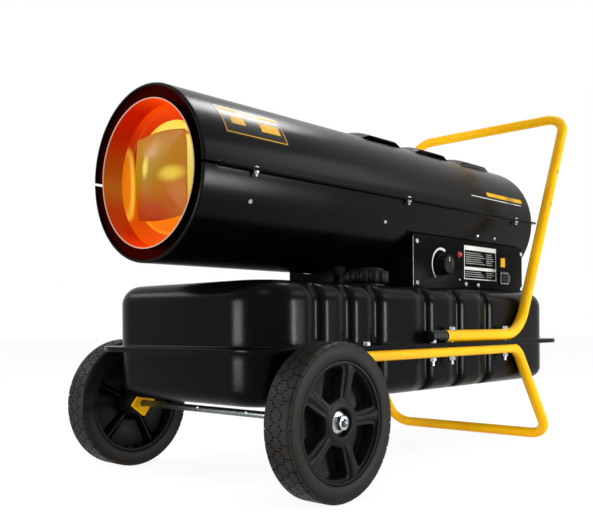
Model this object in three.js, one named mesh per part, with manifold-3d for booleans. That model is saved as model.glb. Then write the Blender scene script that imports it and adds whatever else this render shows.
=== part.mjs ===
// Forced air heater on two wheels, in millimetres.
//
// The long tube lies along X and blows towards -X. The control side faces -Y and is called left,
// as the person who pushes the heater by its handle sees it. +Z is up and the floor is z = 0.
// While the parts are made, x = 0 is the wheel axle. At the end the whole heater is moved so that
// the middle of its footprint is the origin.

import * as THREE from 'three';
import { mergeVertices } from 'three/addons/utils/BufferGeometryUtils.js';
import Module from 'manifold-3d';

const wasm = await Module();
wasm.setup();

// ---------------------------------------------------------------- driving dimensions

// clearances
const seat = 0.3; // between pieces that rest on each other
const runningGap = 0.5; // between pieces that turn on each other
const boltClearance = 0.3; // round a bolt or a screw in its hole

// sheet metal
const sheet = 1.5;
const linerSheet = 1.2;

// wheels and axle
const wheelRadius = 100;
const tyreWidth = 42;
const tyreDepth = 23;
const wheelGap = 3; // from the tank's flange to the tyre
const rimWall = 5;
const webThickness = 5;
const bossRadius = 24;
const nutRecessRadius = 17.5;
const nutRecessDepth = 8;
const axleRadius = 5;
const axleNutSize = 17; // across flats
const axleNutHeight = 10;
const axleFlangeRadius = 14;
const axleFlangeThickness = 2;
const axleEndLength = 4; // thread that stands out of the nut

// tank
const groundClearance = 110;
const tankLength = 795;
const tankWidth = 330;
const tankLowerDepth = 79.5;
const tankUpperDepth = 89.5;
const tankCorner = 62;
const tankAhead = 74; // tank wall in front of the axle
const shoulderWidth = 28;
const shoulderHeight = 13;
const bellyWidth = 24;
const bellyHeight = 16;
const flangeCorner = 60;
const flangeMargin = 2; // flange beyond the rails
const flangeEnds = 16; // flange beyond the tank at its front and rear
const lipDrop = 6;
const channelWidth = 20;
const channelDepth = 4;
const channelSlope = 3;
const frontChannelStart = 102; // from the tank's front wall to the first channel's middle
const frontChannelPitch = 64;
const rearChannelStart = 357;
const rearChannelPitch = 92;
const channelsPerGroup = 3;

// tubular frame and handle
const frameTube = 19;
const railGap = 1; // from the tank's wall to the rails
const flatEndWidth = 29;
const flatEndThickness = 5;
const flatEndReach = 15; // beyond the axle
const strutAngle = 52;
const legStart = 556; // from the axle to the corner where the rail turns down
const legLean = 36.5;
const legBend = 42;
const footBend = 34;
const handleFront = 330;
const handleCorner = 566;
const handleLean = 25.6;
const handleHeight = 630; // middle of the top bar
const handleBend = 75;
const handleTopBend = 38;
const plugLength = 67;
const plugSpigotLength = 6;
const plugRibPitch = 13;
const tubeWall = 1.5;
const frameBoltRadius = 3;
const boltHeadSize = 10;
const boltHeadHeight = 5;
const boltTail = 7; // thread below the nut
const frameOnlyBolts = [118, 285];
const handleBolts = [340, 514];

// heater tube
const tubeRadius = 117;
const tubeLength = 863;
const outletAhead = 123;
const supportHeight = 24;
const rolledEdge = 4;
const seamFlange = 10;
const seamScrews = [-39, 303, 665];
const seamScrewRadius = 2;
const seamScrewHead = 4.2;
const seamSlit = 4;
const seamSlitLength = 24;
const louvreCount = 3;
const louvreStart = 436; // from the outlet to the first louvre's middle
const louvrePitch = 158;
const louvreLength = 112;
const louvreHalfAngle = 19;
const louvreSlit = 3;
const louvreRise = 7;

// hot parts
const shieldRadius = 98;
const shieldLength = 500;
const chamberRadius = 80;
const chamberRecess = 21; // from the outlet to the chamber's front ring
const chamberLength = 500;
const chamberMouth = 4; // turned in at the chamber's front
const baffleHalfWidth = 48;
const baffleHalfHeight = 54;
const baffleDome = 12;
const baffleSetback = 4;
const headVents = 6;
const nozzleRadius = 15;

// motor, fan and air pump
const motorRadius = 48;
const motorLength = 115;
const bracketLength = 44;
const bracketSheet = 3;
const bracketHoleRadius = 12;
const motorStart = 628; // from the outlet to the motor's front
const shaftRadius = 5;
const fanRadius = 104;
const fanHubRadius = 24;
const fanWidth = 34;
const fanGap = 16; // from the fan to the motor
const fanBlades = 6;
const bladePitch = 38;
const pumpRadius = 50;
const pumpLength = 26;
const pumpChamberRadius = 34;
const pumpRotorRadius = 32;
const coverLength = 32;
const pumpPort = 8; // below the pump's body
const guardDepth = 5;
const guardWire = 3;
const guardRings = 4;
const guardSpokes = 6;

// control box and what it holds
const boxStart = 451; // from the outlet to the box
const boxLength = 380;
const boxWidth = 224;
const boxHeight = 90;
const windowMargin = 12;
const knobX = 412;
const knobHeight = 42; // above the box's floor
const knobRadius = 18.8;
const knobDepth = 17;
const thermostatDepth = 24;
const lampX = 470;
const lampHeight = 63;
const lampRadius = 4.5;
const lampDepth = 14; // behind the panel's face
const switchX = 632;
const switchHeight = 27;
const switchWidth = 36;
const switchTall = 26;
const switchBezel = 3.5;
const rockerTilt = 10; // either way from the middle
const rockerFace = 3.5; // from the pivot
const glandRadius = 8;
const glandY = 80;
const glandHeight = 22; // above the box's floor
const boardStart = 190; // from the box's front to the circuit board
const boardLength = 90;
const boardWidth = 70;
const boardRise = 6; // on its feet
const boardSheet = 1.6;
const partHeight = 13; // of the tallest part on the board
const transformerLength = 70;
const transformerWidth = 30;
const transformerHeight = 18;
const transformerBack = 90; // from the box's rear to its front

// filler
const capX = 211;
const capInset = 60; // from the tank's side wall
const capRadius = 34.5;
const capHeight = 22;
const capTopHeight = 5;
const capLobes = 12;
const neckRadius = 25;
const neckHeight = 16;

// fuel pick-up and lines
const pickupSetback = 112; // from the box's front
const pickupRadius = 4;
const pickupRise = 16; // above the box's floor
const strainerRadius = 10;
const strainerLength = 26;
const strainerGap = 6; // above the tank's bottom
const lineRadius = 3;
const lineSpacing = 7; // from the middle to each line at the nozzle
const lineBend = 10;
const lineDrop = 84; // from the tube's middle to where the fuel line turns
const airRunHeight = 13; // above the box's floor
const airRunY = 60;
const airRunBend = 30;

// ---------------------------------------------------------------- values worked out from them

const railRadius = frameTube / 2;
const capY = capInset - tankWidth / 2;
const flangeOverhang = railGap + frameTube + flangeMargin;
const flangeHalfWidth = tankWidth / 2 + flangeOverhang;
const railY = tankWidth / 2 + railGap + railRadius;
const wheelY = flangeHalfWidth + wheelGap + tyreWidth / 2;
const seamHeight = groundClearance + tankLowerDepth;
const tankTop = seamHeight + tankUpperDepth;
const tankMiddle = tankLength / 2 - tankAhead;
const flangeTop = seamHeight + seat / 2 + sheet;
const flangeBottom = seamHeight - seat / 2 - sheet;
const lowerRailZ = flangeBottom - seat - railRadius;
const handleRailZ = flangeTop + seat + railRadius;
const tubeZ = tankTop + supportHeight + tubeRadius;
const outletX = -outletAhead;
const tubeRearX = outletX + tubeLength;
const shellInside = tubeRadius - sheet;
const motorX = outletX + motorStart;
const motorRearX = motorX + motorLength;
const fanX = motorX - fanGap - fanWidth;
const chamberX = outletX + chamberRecess;
const chamberRearX = chamberX + chamberLength;
const boxX = outletX + boxStart;
const boxRearX = boxX + boxLength;
const boxFloor = tankTop + seat;
const boxTop = boxFloor + boxHeight;
const panelFace = -boxWidth / 2;
const boxFace = panelFace + sheet + seat;

const TURN = Math.PI * 2;
const degrees = (angle) => (angle * Math.PI) / 180;
const at = (x, y, z) => new THREE.Vector3(x, y, z);

// ---------------------------------------------------------------- finishes

function finish(color, roughness, metalness) {
  return new THREE.MeshStandardMaterial({ color, roughness, metalness });
}

const finishes = {
  shellPaint: finish(0x0b0b0c, 0.25, 0),
  tankPaint: finish(0x151516, 0.5, 0),
  framePaint: finish(0xffc400, 0.4, 0),
  tyreRubber: finish(0x34302e, 0.85, 0),
  hubPlastic: finish(0x2c2927, 0.6, 0),
  zinc: finish(0xb9bcbf, 0.35, 1),
  hotSteel: finish(0xc86a2a, 0.4, 0.9),
  castMetal: finish(0x8c8f92, 0.5, 0.9),
  motorPaint: finish(0x2a3038, 0.5, 0.2),
  blackPlastic: finish(0x121212, 0.5, 0),
  ceramic: finish(0xe9e4da, 0.4, 0),
  lampLens: finish(0xc81e1e, 0.2, 0),
  boardGreen: finish(0x1e5a34, 0.6, 0),
  brass: finish(0xb08d3c, 0.35, 1),
};

// ---------------------------------------------------------------- joining and cutting

function toSolid(geometry) {
  const bare = geometry.clone();
  bare.deleteAttribute('normal');
  bare.deleteAttribute('uv');
  const merged = mergeVertices(bare, 1e-4);
  return new wasm.Manifold(
    new wasm.Mesh({
      numProp: 3,
      vertProperties: Float32Array.from(merged.attributes.position.array),
      triVerts: Uint32Array.from(merged.index.array),
    }),
  );
}

function toGeometry(solid) {
  const { vertProperties, triVerts } = solid.getMesh();
  const geometry = new THREE.BufferGeometry();
  geometry.setAttribute('position', new THREE.BufferAttribute(vertProperties, 3));
  geometry.setIndex(new THREE.BufferAttribute(triVerts, 1));
  geometry.computeVertexNormals();
  return geometry;
}

function join(...pieces) {
  return toGeometry(pieces.map(toSolid).reduce((whole, piece) => whole.add(piece)));
}

function cut(base, ...tools) {
  return toGeometry(tools.map(toSolid).reduce((rest, tool) => rest.subtract(tool), toSolid(base)));
}

function keep(base, region) {
  return toGeometry(toSolid(base).intersect(toSolid(region)));
}

// ---------------------------------------------------------------- basic shapes, in place

function box(x0, x1, y0, y1, z0, z1) {
  const geometry = new THREE.BoxGeometry(x1 - x0, y1 - y0, z1 - z0);
  return geometry.translate((x0 + x1) / 2, (y0 + y1) / 2, (z0 + z1) / 2);
}

// Turns a shape made round Y so that its axis points along the given one.
function alignAxis(geometry, axis) {
  if (axis === 'x') geometry.rotateZ(-Math.PI / 2);
  if (axis === 'z') geometry.rotateX(Math.PI / 2);
  return geometry;
}

// A round bar from one place to another along an axis, through the given point.
function rod(axis, from, to, radius, through, sides = 16) {
  const geometry = new THREE.CylinderGeometry(radius, radius, to - from, sides);
  geometry.translate(0, (from + to) / 2, 0);
  alignAxis(geometry, axis);
  const offset = through.clone();
  offset[axis] = 0;
  return geometry.translate(offset.x, offset.y, offset.z);
}

// A turned piece. The profile is a closed list of [radius, place along the axis].
function turned(axis, profile, through, segments) {
  const points = profile.map(([radius, along]) => new THREE.Vector2(radius, along));
  if (profile[0][0] > 0) points.push(points[0].clone());
  const geometry = new THREE.LatheGeometry(points, segments);
  alignAxis(geometry, axis);
  const offset = through.clone();
  offset[axis] = 0;
  geometry.translate(offset.x, offset.y, offset.z);
  return facingOut(geometry);
}

// An outline in the YZ plane, as [y, z] pairs, pushed along X.
function alongX(outline, x0, x1) {
  const shape = new THREE.Shape(outline.map(([y, z]) => new THREE.Vector2(y, z)));
  const geometry = new THREE.ExtrudeGeometry(shape, { depth: x1 - x0, bevelEnabled: false });
  geometry.applyMatrix4(new THREE.Matrix4().makeBasis(at(0, 1, 0), at(0, 0, 1), at(1, 0, 0)));
  return geometry.translate(x0, 0, 0);
}

// An outline in the XZ plane, as [x, z] pairs, pushed along Y.
function alongY(outline, y0, y1) {
  const shape = new THREE.Shape(outline.map(([x, z]) => new THREE.Vector2(x, z)));
  const geometry = new THREE.ExtrudeGeometry(shape, { depth: y1 - y0, bevelEnabled: false });
  geometry.applyMatrix4(new THREE.Matrix4().makeBasis(at(1, 0, 0), at(0, 0, 1), at(0, -1, 0)));
  return geometry.translate(0, y1, 0);
}

// A piece of a ring round the tube's axis. Angles are in degrees from +Y towards +Z.
function tubeBand(inner, outer, angle0, angle1, x0, x1, steps = 6) {
  const outline = [];
  for (let step = 0; step <= steps; step += 1) {
    const angle = degrees(angle0 + ((angle1 - angle0) * step) / steps);
    outline.push([outer * Math.cos(angle), tubeZ + outer * Math.sin(angle)]);
  }
  for (let step = steps; step >= 0; step -= 1) {
    const angle = degrees(angle0 + ((angle1 - angle0) * step) / steps);
    outline.push([inner * Math.cos(angle), tubeZ + inner * Math.sin(angle)]);
  }
  return alongX(outline, x0, x1);
}

function hexRadius(acrossFlats) {
  return acrossFlats / 2 / Math.cos(Math.PI / 6);
}

// ---------------------------------------------------------------- skins between rings of points

function volumeOf(points, faces) {
  let sum = 0;
  for (const [a, b, c] of faces) sum += points[a].dot(points[b].clone().cross(points[c]));
  return sum / 6;
}

function fromFaces(points, faces) {
  const out = volumeOf(points, faces) >= 0 ? faces : faces.map(([a, b, c]) => [a, c, b]);
  const geometry = new THREE.BufferGeometry();
  const numbers = points.flatMap((point) => [point.x, point.y, point.z]);
  geometry.setAttribute('position', new THREE.Float32BufferAttribute(numbers, 3));
  geometry.setIndex(out.flat());
  geometry.computeVertexNormals();
  return geometry;
}

// Turns a closed mesh's faces round if they point inwards.
function facingOut(geometry) {
  const bare = geometry.clone();
  bare.deleteAttribute('normal');
  bare.deleteAttribute('uv');
  const merged = mergeVertices(bare, 1e-4);
  const position = merged.attributes.position;
  const points = [];
  for (let i = 0; i < position.count; i += 1) {
    points.push(new THREE.Vector3().fromBufferAttribute(position, i));
  }
  const faces = [];
  const index = merged.index.array;
  for (let i = 0; i < index.length; i += 3) {
    const face = [index[i], index[i + 1], index[i + 2]];
    if (new Set(face).size === 3) faces.push(face);
  }
  return fromFaces(points, faces);
}

// A closed skin through rings of points, with a flat cap on the first and last ring.
function loft(rings) {
  const count = rings[0].length;
  const faces = [];
  for (let ring = 0; ring + 1 < rings.length; ring += 1) {
    for (let i = 0; i < count; i += 1) {
      const j = (i + 1) % count;
      const low = ring * count;
      const high = low + count;
      faces.push([low + i, low + j, high + j], [low + i, high + j, high + i]);
    }
  }
  const last = (rings.length - 1) * count;
  for (let i = 1; i + 1 < count; i += 1) {
    faces.push([0, i + 1, i], [last, last + i, last + i + 1]);
  }
  return fromFaces(rings.flat(), faces);
}

// The middle line of a bent tube: straight runs joined by arcs. Each corner is [point, bend].
function bentLine(corners, arcSteps = 4) {
  const line = [corners[0][0].clone()];
  for (let i = 1; i + 1 < corners.length; i += 1) {
    const [corner, bend] = corners[i];
    const into = corner.clone().sub(corners[i - 1][0]).normalize();
    const away = corners[i + 1][0].clone().sub(corner).normalize();
    const turn = into.angleTo(away);
    const start = corner.clone().addScaledVector(into, -bend * Math.tan(turn / 2));
    const inward = away.clone().sub(into).normalize();
    const centre = corner.clone().addScaledVector(inward, bend / Math.cos(turn / 2));
    const axis = into.clone().cross(away).normalize();
    for (let step = 0; step <= arcSteps; step += 1) {
      const arm = start.clone().sub(centre).applyAxisAngle(axis, (turn * step) / arcSteps);
      line.push(arm.add(centre));
    }
  }
  line.push(corners[corners.length - 1][0].clone());
  return line;
}

// A solid bar along a line. sizeAt gives the half width along the first side vector and the
// half thickness across it, for each point of the line. roll turns the section's corners.
function sweep(line, side, sides, sizeAt, roll = 0) {
  const last = line.length - 1;
  const tangents = line.map((point, i) => {
    const before = line[Math.max(i - 1, 0)];
    const after = line[Math.min(i + 1, last)];
    return after.clone().sub(before).normalize();
  });
  const normal = side.clone();
  const rings = line.map((point, i) => {
    if (i > 0) {
      const bend = new THREE.Quaternion().setFromUnitVectors(tangents[i - 1], tangents[i]);
      normal.applyQuaternion(bend);
    }
    const across = tangents[i].clone().cross(normal);
    const [wide, thick] = sizeAt(i, last);
    const ring = [];
    for (let k = 0; k < sides; k += 1) {
      const angle = (TURN * (k + 0.5)) / sides + roll;
      ring.push(
        point
          .clone()
          .addScaledVector(normal, wide * Math.cos(angle))
          .addScaledVector(across, thick * Math.sin(angle)),
      );
    }
    return ring;
  });
  return loft(rings);
}

// ---------------------------------------------------------------- the heater's group

const heater = new THREE.Group();

function add(name, geometry, material) {
  const mesh = new THREE.Mesh(geometry, material);
  mesh.name = name;
  heater.add(mesh);
}

// Adds a left piece and its mirror image on the right.
function addPair(name, makeLeft, material) {
  add(`left_${name}`, makeLeft(-1), material);
  add(`right_${name}`, makeLeft(1), material);
}

// ---------------------------------------------------------------- wheels and axle

const axlePoint = at(0, 0, wheelRadius);
const rimRadius = wheelRadius - tyreDepth - seat;
const frameEndFace = railY + flatEndThickness / 2;
const bossInner = wheelY - frameEndFace - runningGap;
const rimHalfWidth = tyreWidth / 2 - 2;
const recessFloor = rimHalfWidth - nutRecessDepth;
const axleHalf = wheelY + recessFloor + seat + axleNutHeight + axleEndLength;

// Places along the axle count outwards from the wheel's middle plane.
function wheelPiece(side, profile, segments) {
  const placed = profile.map(([radius, out]) => [radius, side * (wheelY + out)]);
  return turned('y', placed, axlePoint, segments);
}

function tyre(side) {
  const half = tyreWidth / 2;
  const bore = wheelRadius - tyreDepth;
  const profile = [
    [bore, -rimHalfWidth],
    [bore + 2, -half],
    [wheelRadius - 5, -half],
    [wheelRadius, -half + 5],
    [wheelRadius, half - 5],
    [wheelRadius - 5, half],
    [bore + 2, half],
    [bore, rimHalfWidth],
  ];
  return wheelPiece(side, profile, 36);
}

function wheelHub(side) {
  const bore = axleRadius + runningGap;
  const rimInside = rimRadius - rimWall;
  const web = webThickness / 2;
  const body = wheelPiece(
    side,
    [
      [bore, -bossInner],
      [bossRadius - 6, -bossInner],
      [bossRadius - 2, -web],
      [rimInside, -web],
      [rimInside + 1, -rimHalfWidth],
      [rimRadius, -rimHalfWidth],
      [rimRadius, rimHalfWidth],
      [rimInside + 1, rimHalfWidth],
      [rimInside, web],
      [bossRadius, web],
      [bossRadius - 1, rimHalfWidth],
      [nutRecessRadius, rimHalfWidth],
      [nutRecessRadius, recessFloor],
      [bore, recessFloor],
    ],
    25,
  );
  return join(body, ...wheelSpokes(side, rimInside));
}

const spokeCount = 5;
const spokeRootWidth = 17;
const spokeTipWidth = 31;
const spokeSink = 3; // spokes below the rim's edge

function wheelSpokes(side, rimInside) {
  const spokes = [];
  for (let i = 0; i < spokeCount; i += 1) {
    const face = rimHalfWidth - spokeSink;
    const outline = [
      [bossRadius - 3, -spokeRootWidth / 2],
      [rimInside + 2, -spokeTipWidth / 2],
      [rimInside + 2, spokeTipWidth / 2],
      [bossRadius - 3, spokeRootWidth / 2],
    ];
    const shape = new THREE.Shape(outline.map(([x, y]) => new THREE.Vector2(x, y)));
    const spoke = new THREE.ExtrudeGeometry(shape, { depth: 2 * face, bevelEnabled: false });
    spoke.translate(0, 0, -face);
    spoke.rotateX(Math.PI / 2);
    spoke.rotateY((TURN * i) / spokeCount + Math.PI / 2);
    spokes.push(spoke.translate(0, side * wheelY, wheelRadius));
  }
  return spokes;
}

// A nut with a round flange pressed on. The profile's bore fits round the six-sided cut.
function axleNut(side) {
  const start = recessFloor + seat;
  const bore = (axleRadius + boltClearance) / Math.cos(Math.PI / 6);
  const flange = wheelPiece(
    side,
    [
      [bore, start],
      [axleFlangeRadius, start],
      [axleFlangeRadius, start + axleFlangeThickness],
      [bore, start + axleFlangeThickness],
    ],
    18,
  );
  const nut = wheelPiece(
    side,
    [
      [bore, start],
      [hexRadius(axleNutSize), start],
      [hexRadius(axleNutSize), start + axleNutHeight],
      [bore, start + axleNutHeight],
    ],
    6,
  );
  return join(flange, nut);
}

addPair('tyre', tyre, finishes.tyreRubber);
addPair('wheel_hub', wheelHub, finishes.hubPlastic);
addPair('axle_nut', axleNut, finishes.zinc);
add('axle', rod('y', -axleHalf, axleHalf, axleRadius, axlePoint), finishes.zinc);

// ---------------------------------------------------------------- tank

const channelPlaces = [];
for (let i = 0; i < channelsPerGroup; i += 1) {
  channelPlaces.push(frontChannelStart + i * frontChannelPitch - tankAhead);
}
for (let i = 0; i < channelsPerGroup; i += 1) {
  channelPlaces.push(rearChannelStart + i * rearChannelPitch - tankAhead);
}
channelPlaces.sort((a, b) => a - b);

// The tank's outline seen from above, pulled in by an inset, with the wall channels pressed in
// by a depth. Every outline has the same number of points, so outlines can be skinned.
function tankOutline(inset, corner, depth, z, endInset = inset) {
  const halfLength = tankLength / 2 - endInset;
  const halfWidth = tankWidth / 2 - inset;
  const radius = Math.max(corner, 1);
  const cornerSteps = 4;
  const outline = [];
  const addCorner = (sideX, sideY, startAngle) => {
    const x = tankMiddle + sideX * (halfLength - radius);
    const y = sideY * (halfWidth - radius);
    for (let step = 0; step <= cornerSteps; step += 1) {
      const angle = degrees(startAngle + (90 * step) / cornerSteps);
      outline.push(at(x + radius * Math.cos(angle), y + radius * Math.sin(angle), z));
    }
  };
  const addChannels = (sideY, places) => {
    const order = -sideY;
    for (const place of places) {
      const half = channelWidth / 2;
      const edge = half - channelSlope;
      outline.push(at(place - order * half, sideY * halfWidth, z));
      outline.push(at(place - order * edge, sideY * (halfWidth - depth), z));
      outline.push(at(place + order * edge, sideY * (halfWidth - depth), z));
      outline.push(at(place + order * half, sideY * halfWidth, z));
    }
  };
  addCorner(-1, -1, 180);
  addChannels(-1, channelPlaces);
  addCorner(1, -1, 270);
  addCorner(1, 1, 0);
  addChannels(1, [...channelPlaces].reverse());
  addCorner(-1, 1, 90);
  return outline;
}

// Rings of a pressed tank half from its flange to the flat end. direction is 1 for the upper
// half and -1 for the lower half. thickness moves the rings to the inner face of the sheet.
function pressingRings(flange, end, roundWidth, roundHeight, direction, thickness) {
  const rings = [];
  const wall = end - direction * roundHeight;
  rings.push(tankOutline(thickness, tankCorner - thickness, channelDepth, flange));
  for (let step = 0; step <= 3; step += 1) {
    const angle = degrees(30 * step);
    const inset = thickness + roundWidth * (1 - Math.cos(angle));
    const z = wall + direction * (roundHeight * Math.sin(angle)) - direction * thickness;
    const depth = step < 3 ? channelDepth : 0;
    rings.push(tankOutline(inset, tankCorner - inset, depth, z));
  }
  return rings;
}

function flangeRing(inset, z) {
  return tankOutline(inset - flangeOverhang, flangeCorner - inset, 0, z, inset - flangeEnds);
}

function boltHoles(places, fromZ, toZ) {
  const holes = [];
  for (const x of places) {
    for (const side of [-1, 1]) {
      const through = at(x, side * railY, 0);
      holes.push(rod('z', fromZ, toZ, frameBoltRadius + boltClearance, through, 8));
    }
  }
  return holes;
}

const allBolts = [...frameOnlyBolts, ...handleBolts];
const pickupX = boxX + pickupSetback;
const neckBore = neckRadius - 4;

function tankUpper() {
  const under = seamHeight + seat / 2;
  const inner = pressingRings(under, tankTop, shoulderWidth, shoulderHeight, 1, sheet);
  const outer = pressingRings(flangeTop, tankTop, shoulderWidth, shoulderHeight, 1, 0);
  const shell = loft([
    ...inner.reverse(),
    flangeRing(sheet, under),
    flangeRing(sheet, under - lipDrop),
    flangeRing(0, under - lipDrop),
    flangeRing(0, flangeTop),
    ...outer,
  ]);
  return cut(
    shell,
    ...boltHoles(allBolts, under - 2, flangeTop + 2),
    rod('z', tankTop - 10, tankTop + 2, neckBore, at(capX, capY, 0), 20),
    rod('z', tankTop - 10, tankTop + 2, pickupRadius + seat, at(pickupX, 0, 0), 12),
  );
}

function tankLower() {
  const over = seamHeight - seat / 2;
  const inner = pressingRings(over, groundClearance, bellyWidth, bellyHeight, -1, sheet);
  const outer = pressingRings(flangeBottom, groundClearance, bellyWidth, bellyHeight, -1, 0);
  const shell = loft([
    ...inner.reverse(),
    flangeRing(sheet + seat, over),
    flangeRing(sheet + seat, flangeBottom),
    ...outer,
  ]);
  return cut(shell, ...boltHoles(allBolts, flangeBottom - 2, over + 2));
}

add('tank_upper', tankUpper(), finishes.tankPaint);
add('tank_lower', tankLower(), finishes.tankPaint);

// ---------------------------------------------------------------- filler and cap

const capPoint = at(capX, capY, 0);
const neckTop = tankTop + neckHeight;
const capSkirtGap = 1;

function fillerNeck() {
  const foot = tankTop + seat;
  const profile = [
    [neckBore, foot],
    [neckRadius + 3, foot],
    [neckRadius + 3, foot + 2],
    [neckRadius, foot + 3],
    [neckRadius, neckTop],
    [neckBore, neckTop],
  ];
  return turned('z', profile, capPoint, 24);
}

function fuelCap() {
  const bottom = tankTop + 4;
  const roof = neckTop + seat;
  const outline = [];
  for (let i = 0; i < capLobes * 4; i += 1) {
    const angle = (TURN * i) / (capLobes * 4);
    const radius = capRadius - 1.2 + 1.2 * Math.cos(angle * capLobes);
    outline.push(new THREE.Vector2(radius * Math.cos(angle), radius * Math.sin(angle)));
  }
  const grip = new THREE.ExtrudeGeometry(new THREE.Shape(outline), {
    depth: capHeight - 4,
    bevelEnabled: false,
  });
  grip.translate(capX, capY, bottom);
  const crown = turned(
    'z',
    [
      [0, bottom + capHeight - 6],
      [capRadius - 6, bottom + capHeight - 6],
      [capRadius - 7, bottom + capHeight - 6 + capTopHeight],
      [capRadius - 10, bottom + capHeight - 4 + capTopHeight],
      [0, bottom + capHeight - 4 + capTopHeight],
    ],
    capPoint,
    32,
  );
  const hollow = rod('z', bottom - 2, roof, neckRadius + capSkirtGap, capPoint, 24);
  return cut(join(grip, crown), hollow);
}

add('filler_neck', fillerNeck(), finishes.zinc);
add('fuel_cap', fuelCap(), finishes.blackPlastic);

// ---------------------------------------------------------------- frame, handle and their bolts

const rise = lowerRailZ - wheelRadius;
const strutRun = rise / Math.tan(degrees(strutAngle));
const tubeSides = 12;
// The foot bar stands on one of its flats.
const footZ = railRadius * Math.cos(Math.PI / tubeSides);
const footX = legStart + (lowerRailZ - footZ) * Math.tan(degrees(legLean));

function wheelFrame() {
  const down = at(-Math.cos(degrees(strutAngle)), 0, -Math.sin(degrees(strutAngle)));
  const end = (side, reach) => at(0, side * railY, wheelRadius).addScaledVector(down, reach);
  const flatStart = -railRadius * 2.2;
  const flatten = -railRadius * 4;
  const corners = (side) => [
    [end(side, flatEndReach), 0],
    [end(side, flatStart), 0],
    [end(side, flatten), 0],
    [at(strutRun, side * railY, lowerRailZ), 30],
    [at(legStart, side * railY, lowerRailZ), legBend],
    [at(footX, side * railY, footZ), footBend],
  ];
  const halfLine = (side) => {
    const points = corners(side);
    const far = [at(footX, 0, footZ), 0];
    return bentLine([points[2], ...points.slice(3), far]);
  };
  const near = [end(-1, flatEndReach), end(-1, flatStart), ...halfLine(-1)];
  const other = [end(1, flatEndReach), end(1, flatStart), ...halfLine(1)];
  other.pop();
  const line = [...near, ...other.reverse()];
  const sizeAt = (i, last) => {
    const fromEnd = Math.min(i, last - i);
    return fromEnd < 2 ? [flatEndThickness / 2, flatEndWidth / 2] : [railRadius, railRadius];
  };
  const bar = sweep(line, at(0, 1, 0), tubeSides, sizeAt, degrees(legLean));
  const axleHole = rod('y', -railY - 20, railY + 20, axleRadius + boltClearance, axlePoint);
  const holes = boltHoles(allBolts, lowerRailZ - 20, flangeBottom + 2);
  return cut(bar, axleHole, ...holes);
}

const handleTopX = handleCorner + (handleHeight - handleRailZ) * Math.tan(degrees(handleLean));

function handle() {
  const line = bentLine([
    [at(handleFront, -railY, handleRailZ), 0],
    [at(handleCorner, -railY, handleRailZ), handleBend],
    [at(handleTopX, -railY, handleHeight), handleTopBend],
    [at(handleTopX, railY, handleHeight), handleTopBend],
    [at(handleCorner, railY, handleRailZ), handleBend],
    [at(handleFront, railY, handleRailZ), 0],
  ]);
  const bar = sweep(line, at(0, 1, 0), tubeSides, () => [railRadius, railRadius]);
  const bores = [-1, 1].map((side) => {
    const through = at(0, side * railY, handleRailZ);
    const depth = plugSpigotLength + seat;
    return rod('x', handleFront - 1, handleFront + depth, railRadius - tubeWall, through, 12);
  });
  const holes = boltHoles(handleBolts, flangeTop - 2, handleRailZ + 20);
  return cut(bar, ...bores, ...holes);
}

function handlePlug(side) {
  const front = handleFront - seat - plugLength;
  const back = handleFront - seat;
  const ribs = Math.floor(plugLength / plugRibPitch);
  const spigot = railRadius - tubeWall - seat;
  const profile = [[0, front]];
  for (let i = 0; i < ribs; i += 1) {
    const start = front + (plugLength * i) / ribs;
    profile.push([railRadius, start], [railRadius, start + plugRibPitch * 0.6]);
    profile.push([railRadius - 1, start + plugRibPitch * 0.8]);
  }
  profile.push([railRadius, back - 1], [railRadius, back], [spigot, back]);
  profile.push([spigot, back + plugSpigotLength], [0, back + plugSpigotLength]);
  const through = at(0, side * railY, handleRailZ);
  const body = turned('x', profile, through, 12);
  const notches = frameOnlyBolts.map((x) => {
    const half = boltHeadSize / 2 + 2;
    const top = flangeTop + seat + boltHeadHeight + 1;
    return box(x - half, x + half, side * railY - 12, side * railY + 12, flangeTop - 5, top);
  });
  return cut(body, ...notches);
}

// A bolt with its nut, from a head that rests on the given height to below the lower rail.
function frameBolt(side, x, headRest) {
  const through = at(x, side * railY, 0);
  const nutTop = lowerRailZ - railRadius - seat;
  const headFoot = headRest + seat;
  const head = rod('z', headFoot, headFoot + boltHeadHeight, hexRadius(boltHeadSize), through, 6);
  const nut = rod('z', nutTop - boltHeadHeight, nutTop, hexRadius(boltHeadSize), through, 6);
  const shank = rod('z', nutTop - boltHeadHeight - boltTail, headFoot + 1, frameBoltRadius, through, 8);
  return join(head, shank, nut);
}

add('wheel_frame', wheelFrame(), finishes.framePaint);
add('handle', handle(), finishes.framePaint);
addPair('handle_plug', handlePlug, finishes.blackPlastic);
frameOnlyBolts.forEach((x, i) => {
  addPair(`frame_bolt_${i + 1}`, (side) => frameBolt(side, x, flangeTop), finishes.zinc);
});
handleBolts.forEach((x, i) => {
  const top = handleRailZ + railRadius;
  addPair(`handle_bolt_${i + 1}`, (side) => frameBolt(side, x, top), finishes.zinc);
});

// ---------------------------------------------------------------- outer shells of the tube

const tubePoint = at(0, 0, tubeZ);
const seamScrewY = tubeRadius + seamFlange / 2;
const tubeSegments = 36;
// The shell is made of flats, so what fits inside it stays within the flats.
const insideReach = shellInside * Math.cos(Math.PI / tubeSegments) - seat;
const wireHoleX = motorX + 40;
const pumpLineX = motorRearX + pumpLength / 2;
const nozzleInletX = chamberRearX + 26;
const fuelLineX = pickupX;

function wholeTube() {
  const profile = [
    [shellInside, tubeRearX],
    [tubeRadius, tubeRearX],
    [tubeRadius, outletX + 2],
    [tubeRadius - 1.5, outletX],
    [tubeRadius - rolledEdge, outletX],
    [tubeRadius - rolledEdge - 1, outletX + 1.5],
    [tubeRadius - rolledEdge, outletX + 3],
    [shellInside, outletX + 3],
  ];
  return turned('x', profile, tubePoint, tubeSegments);
}

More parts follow.
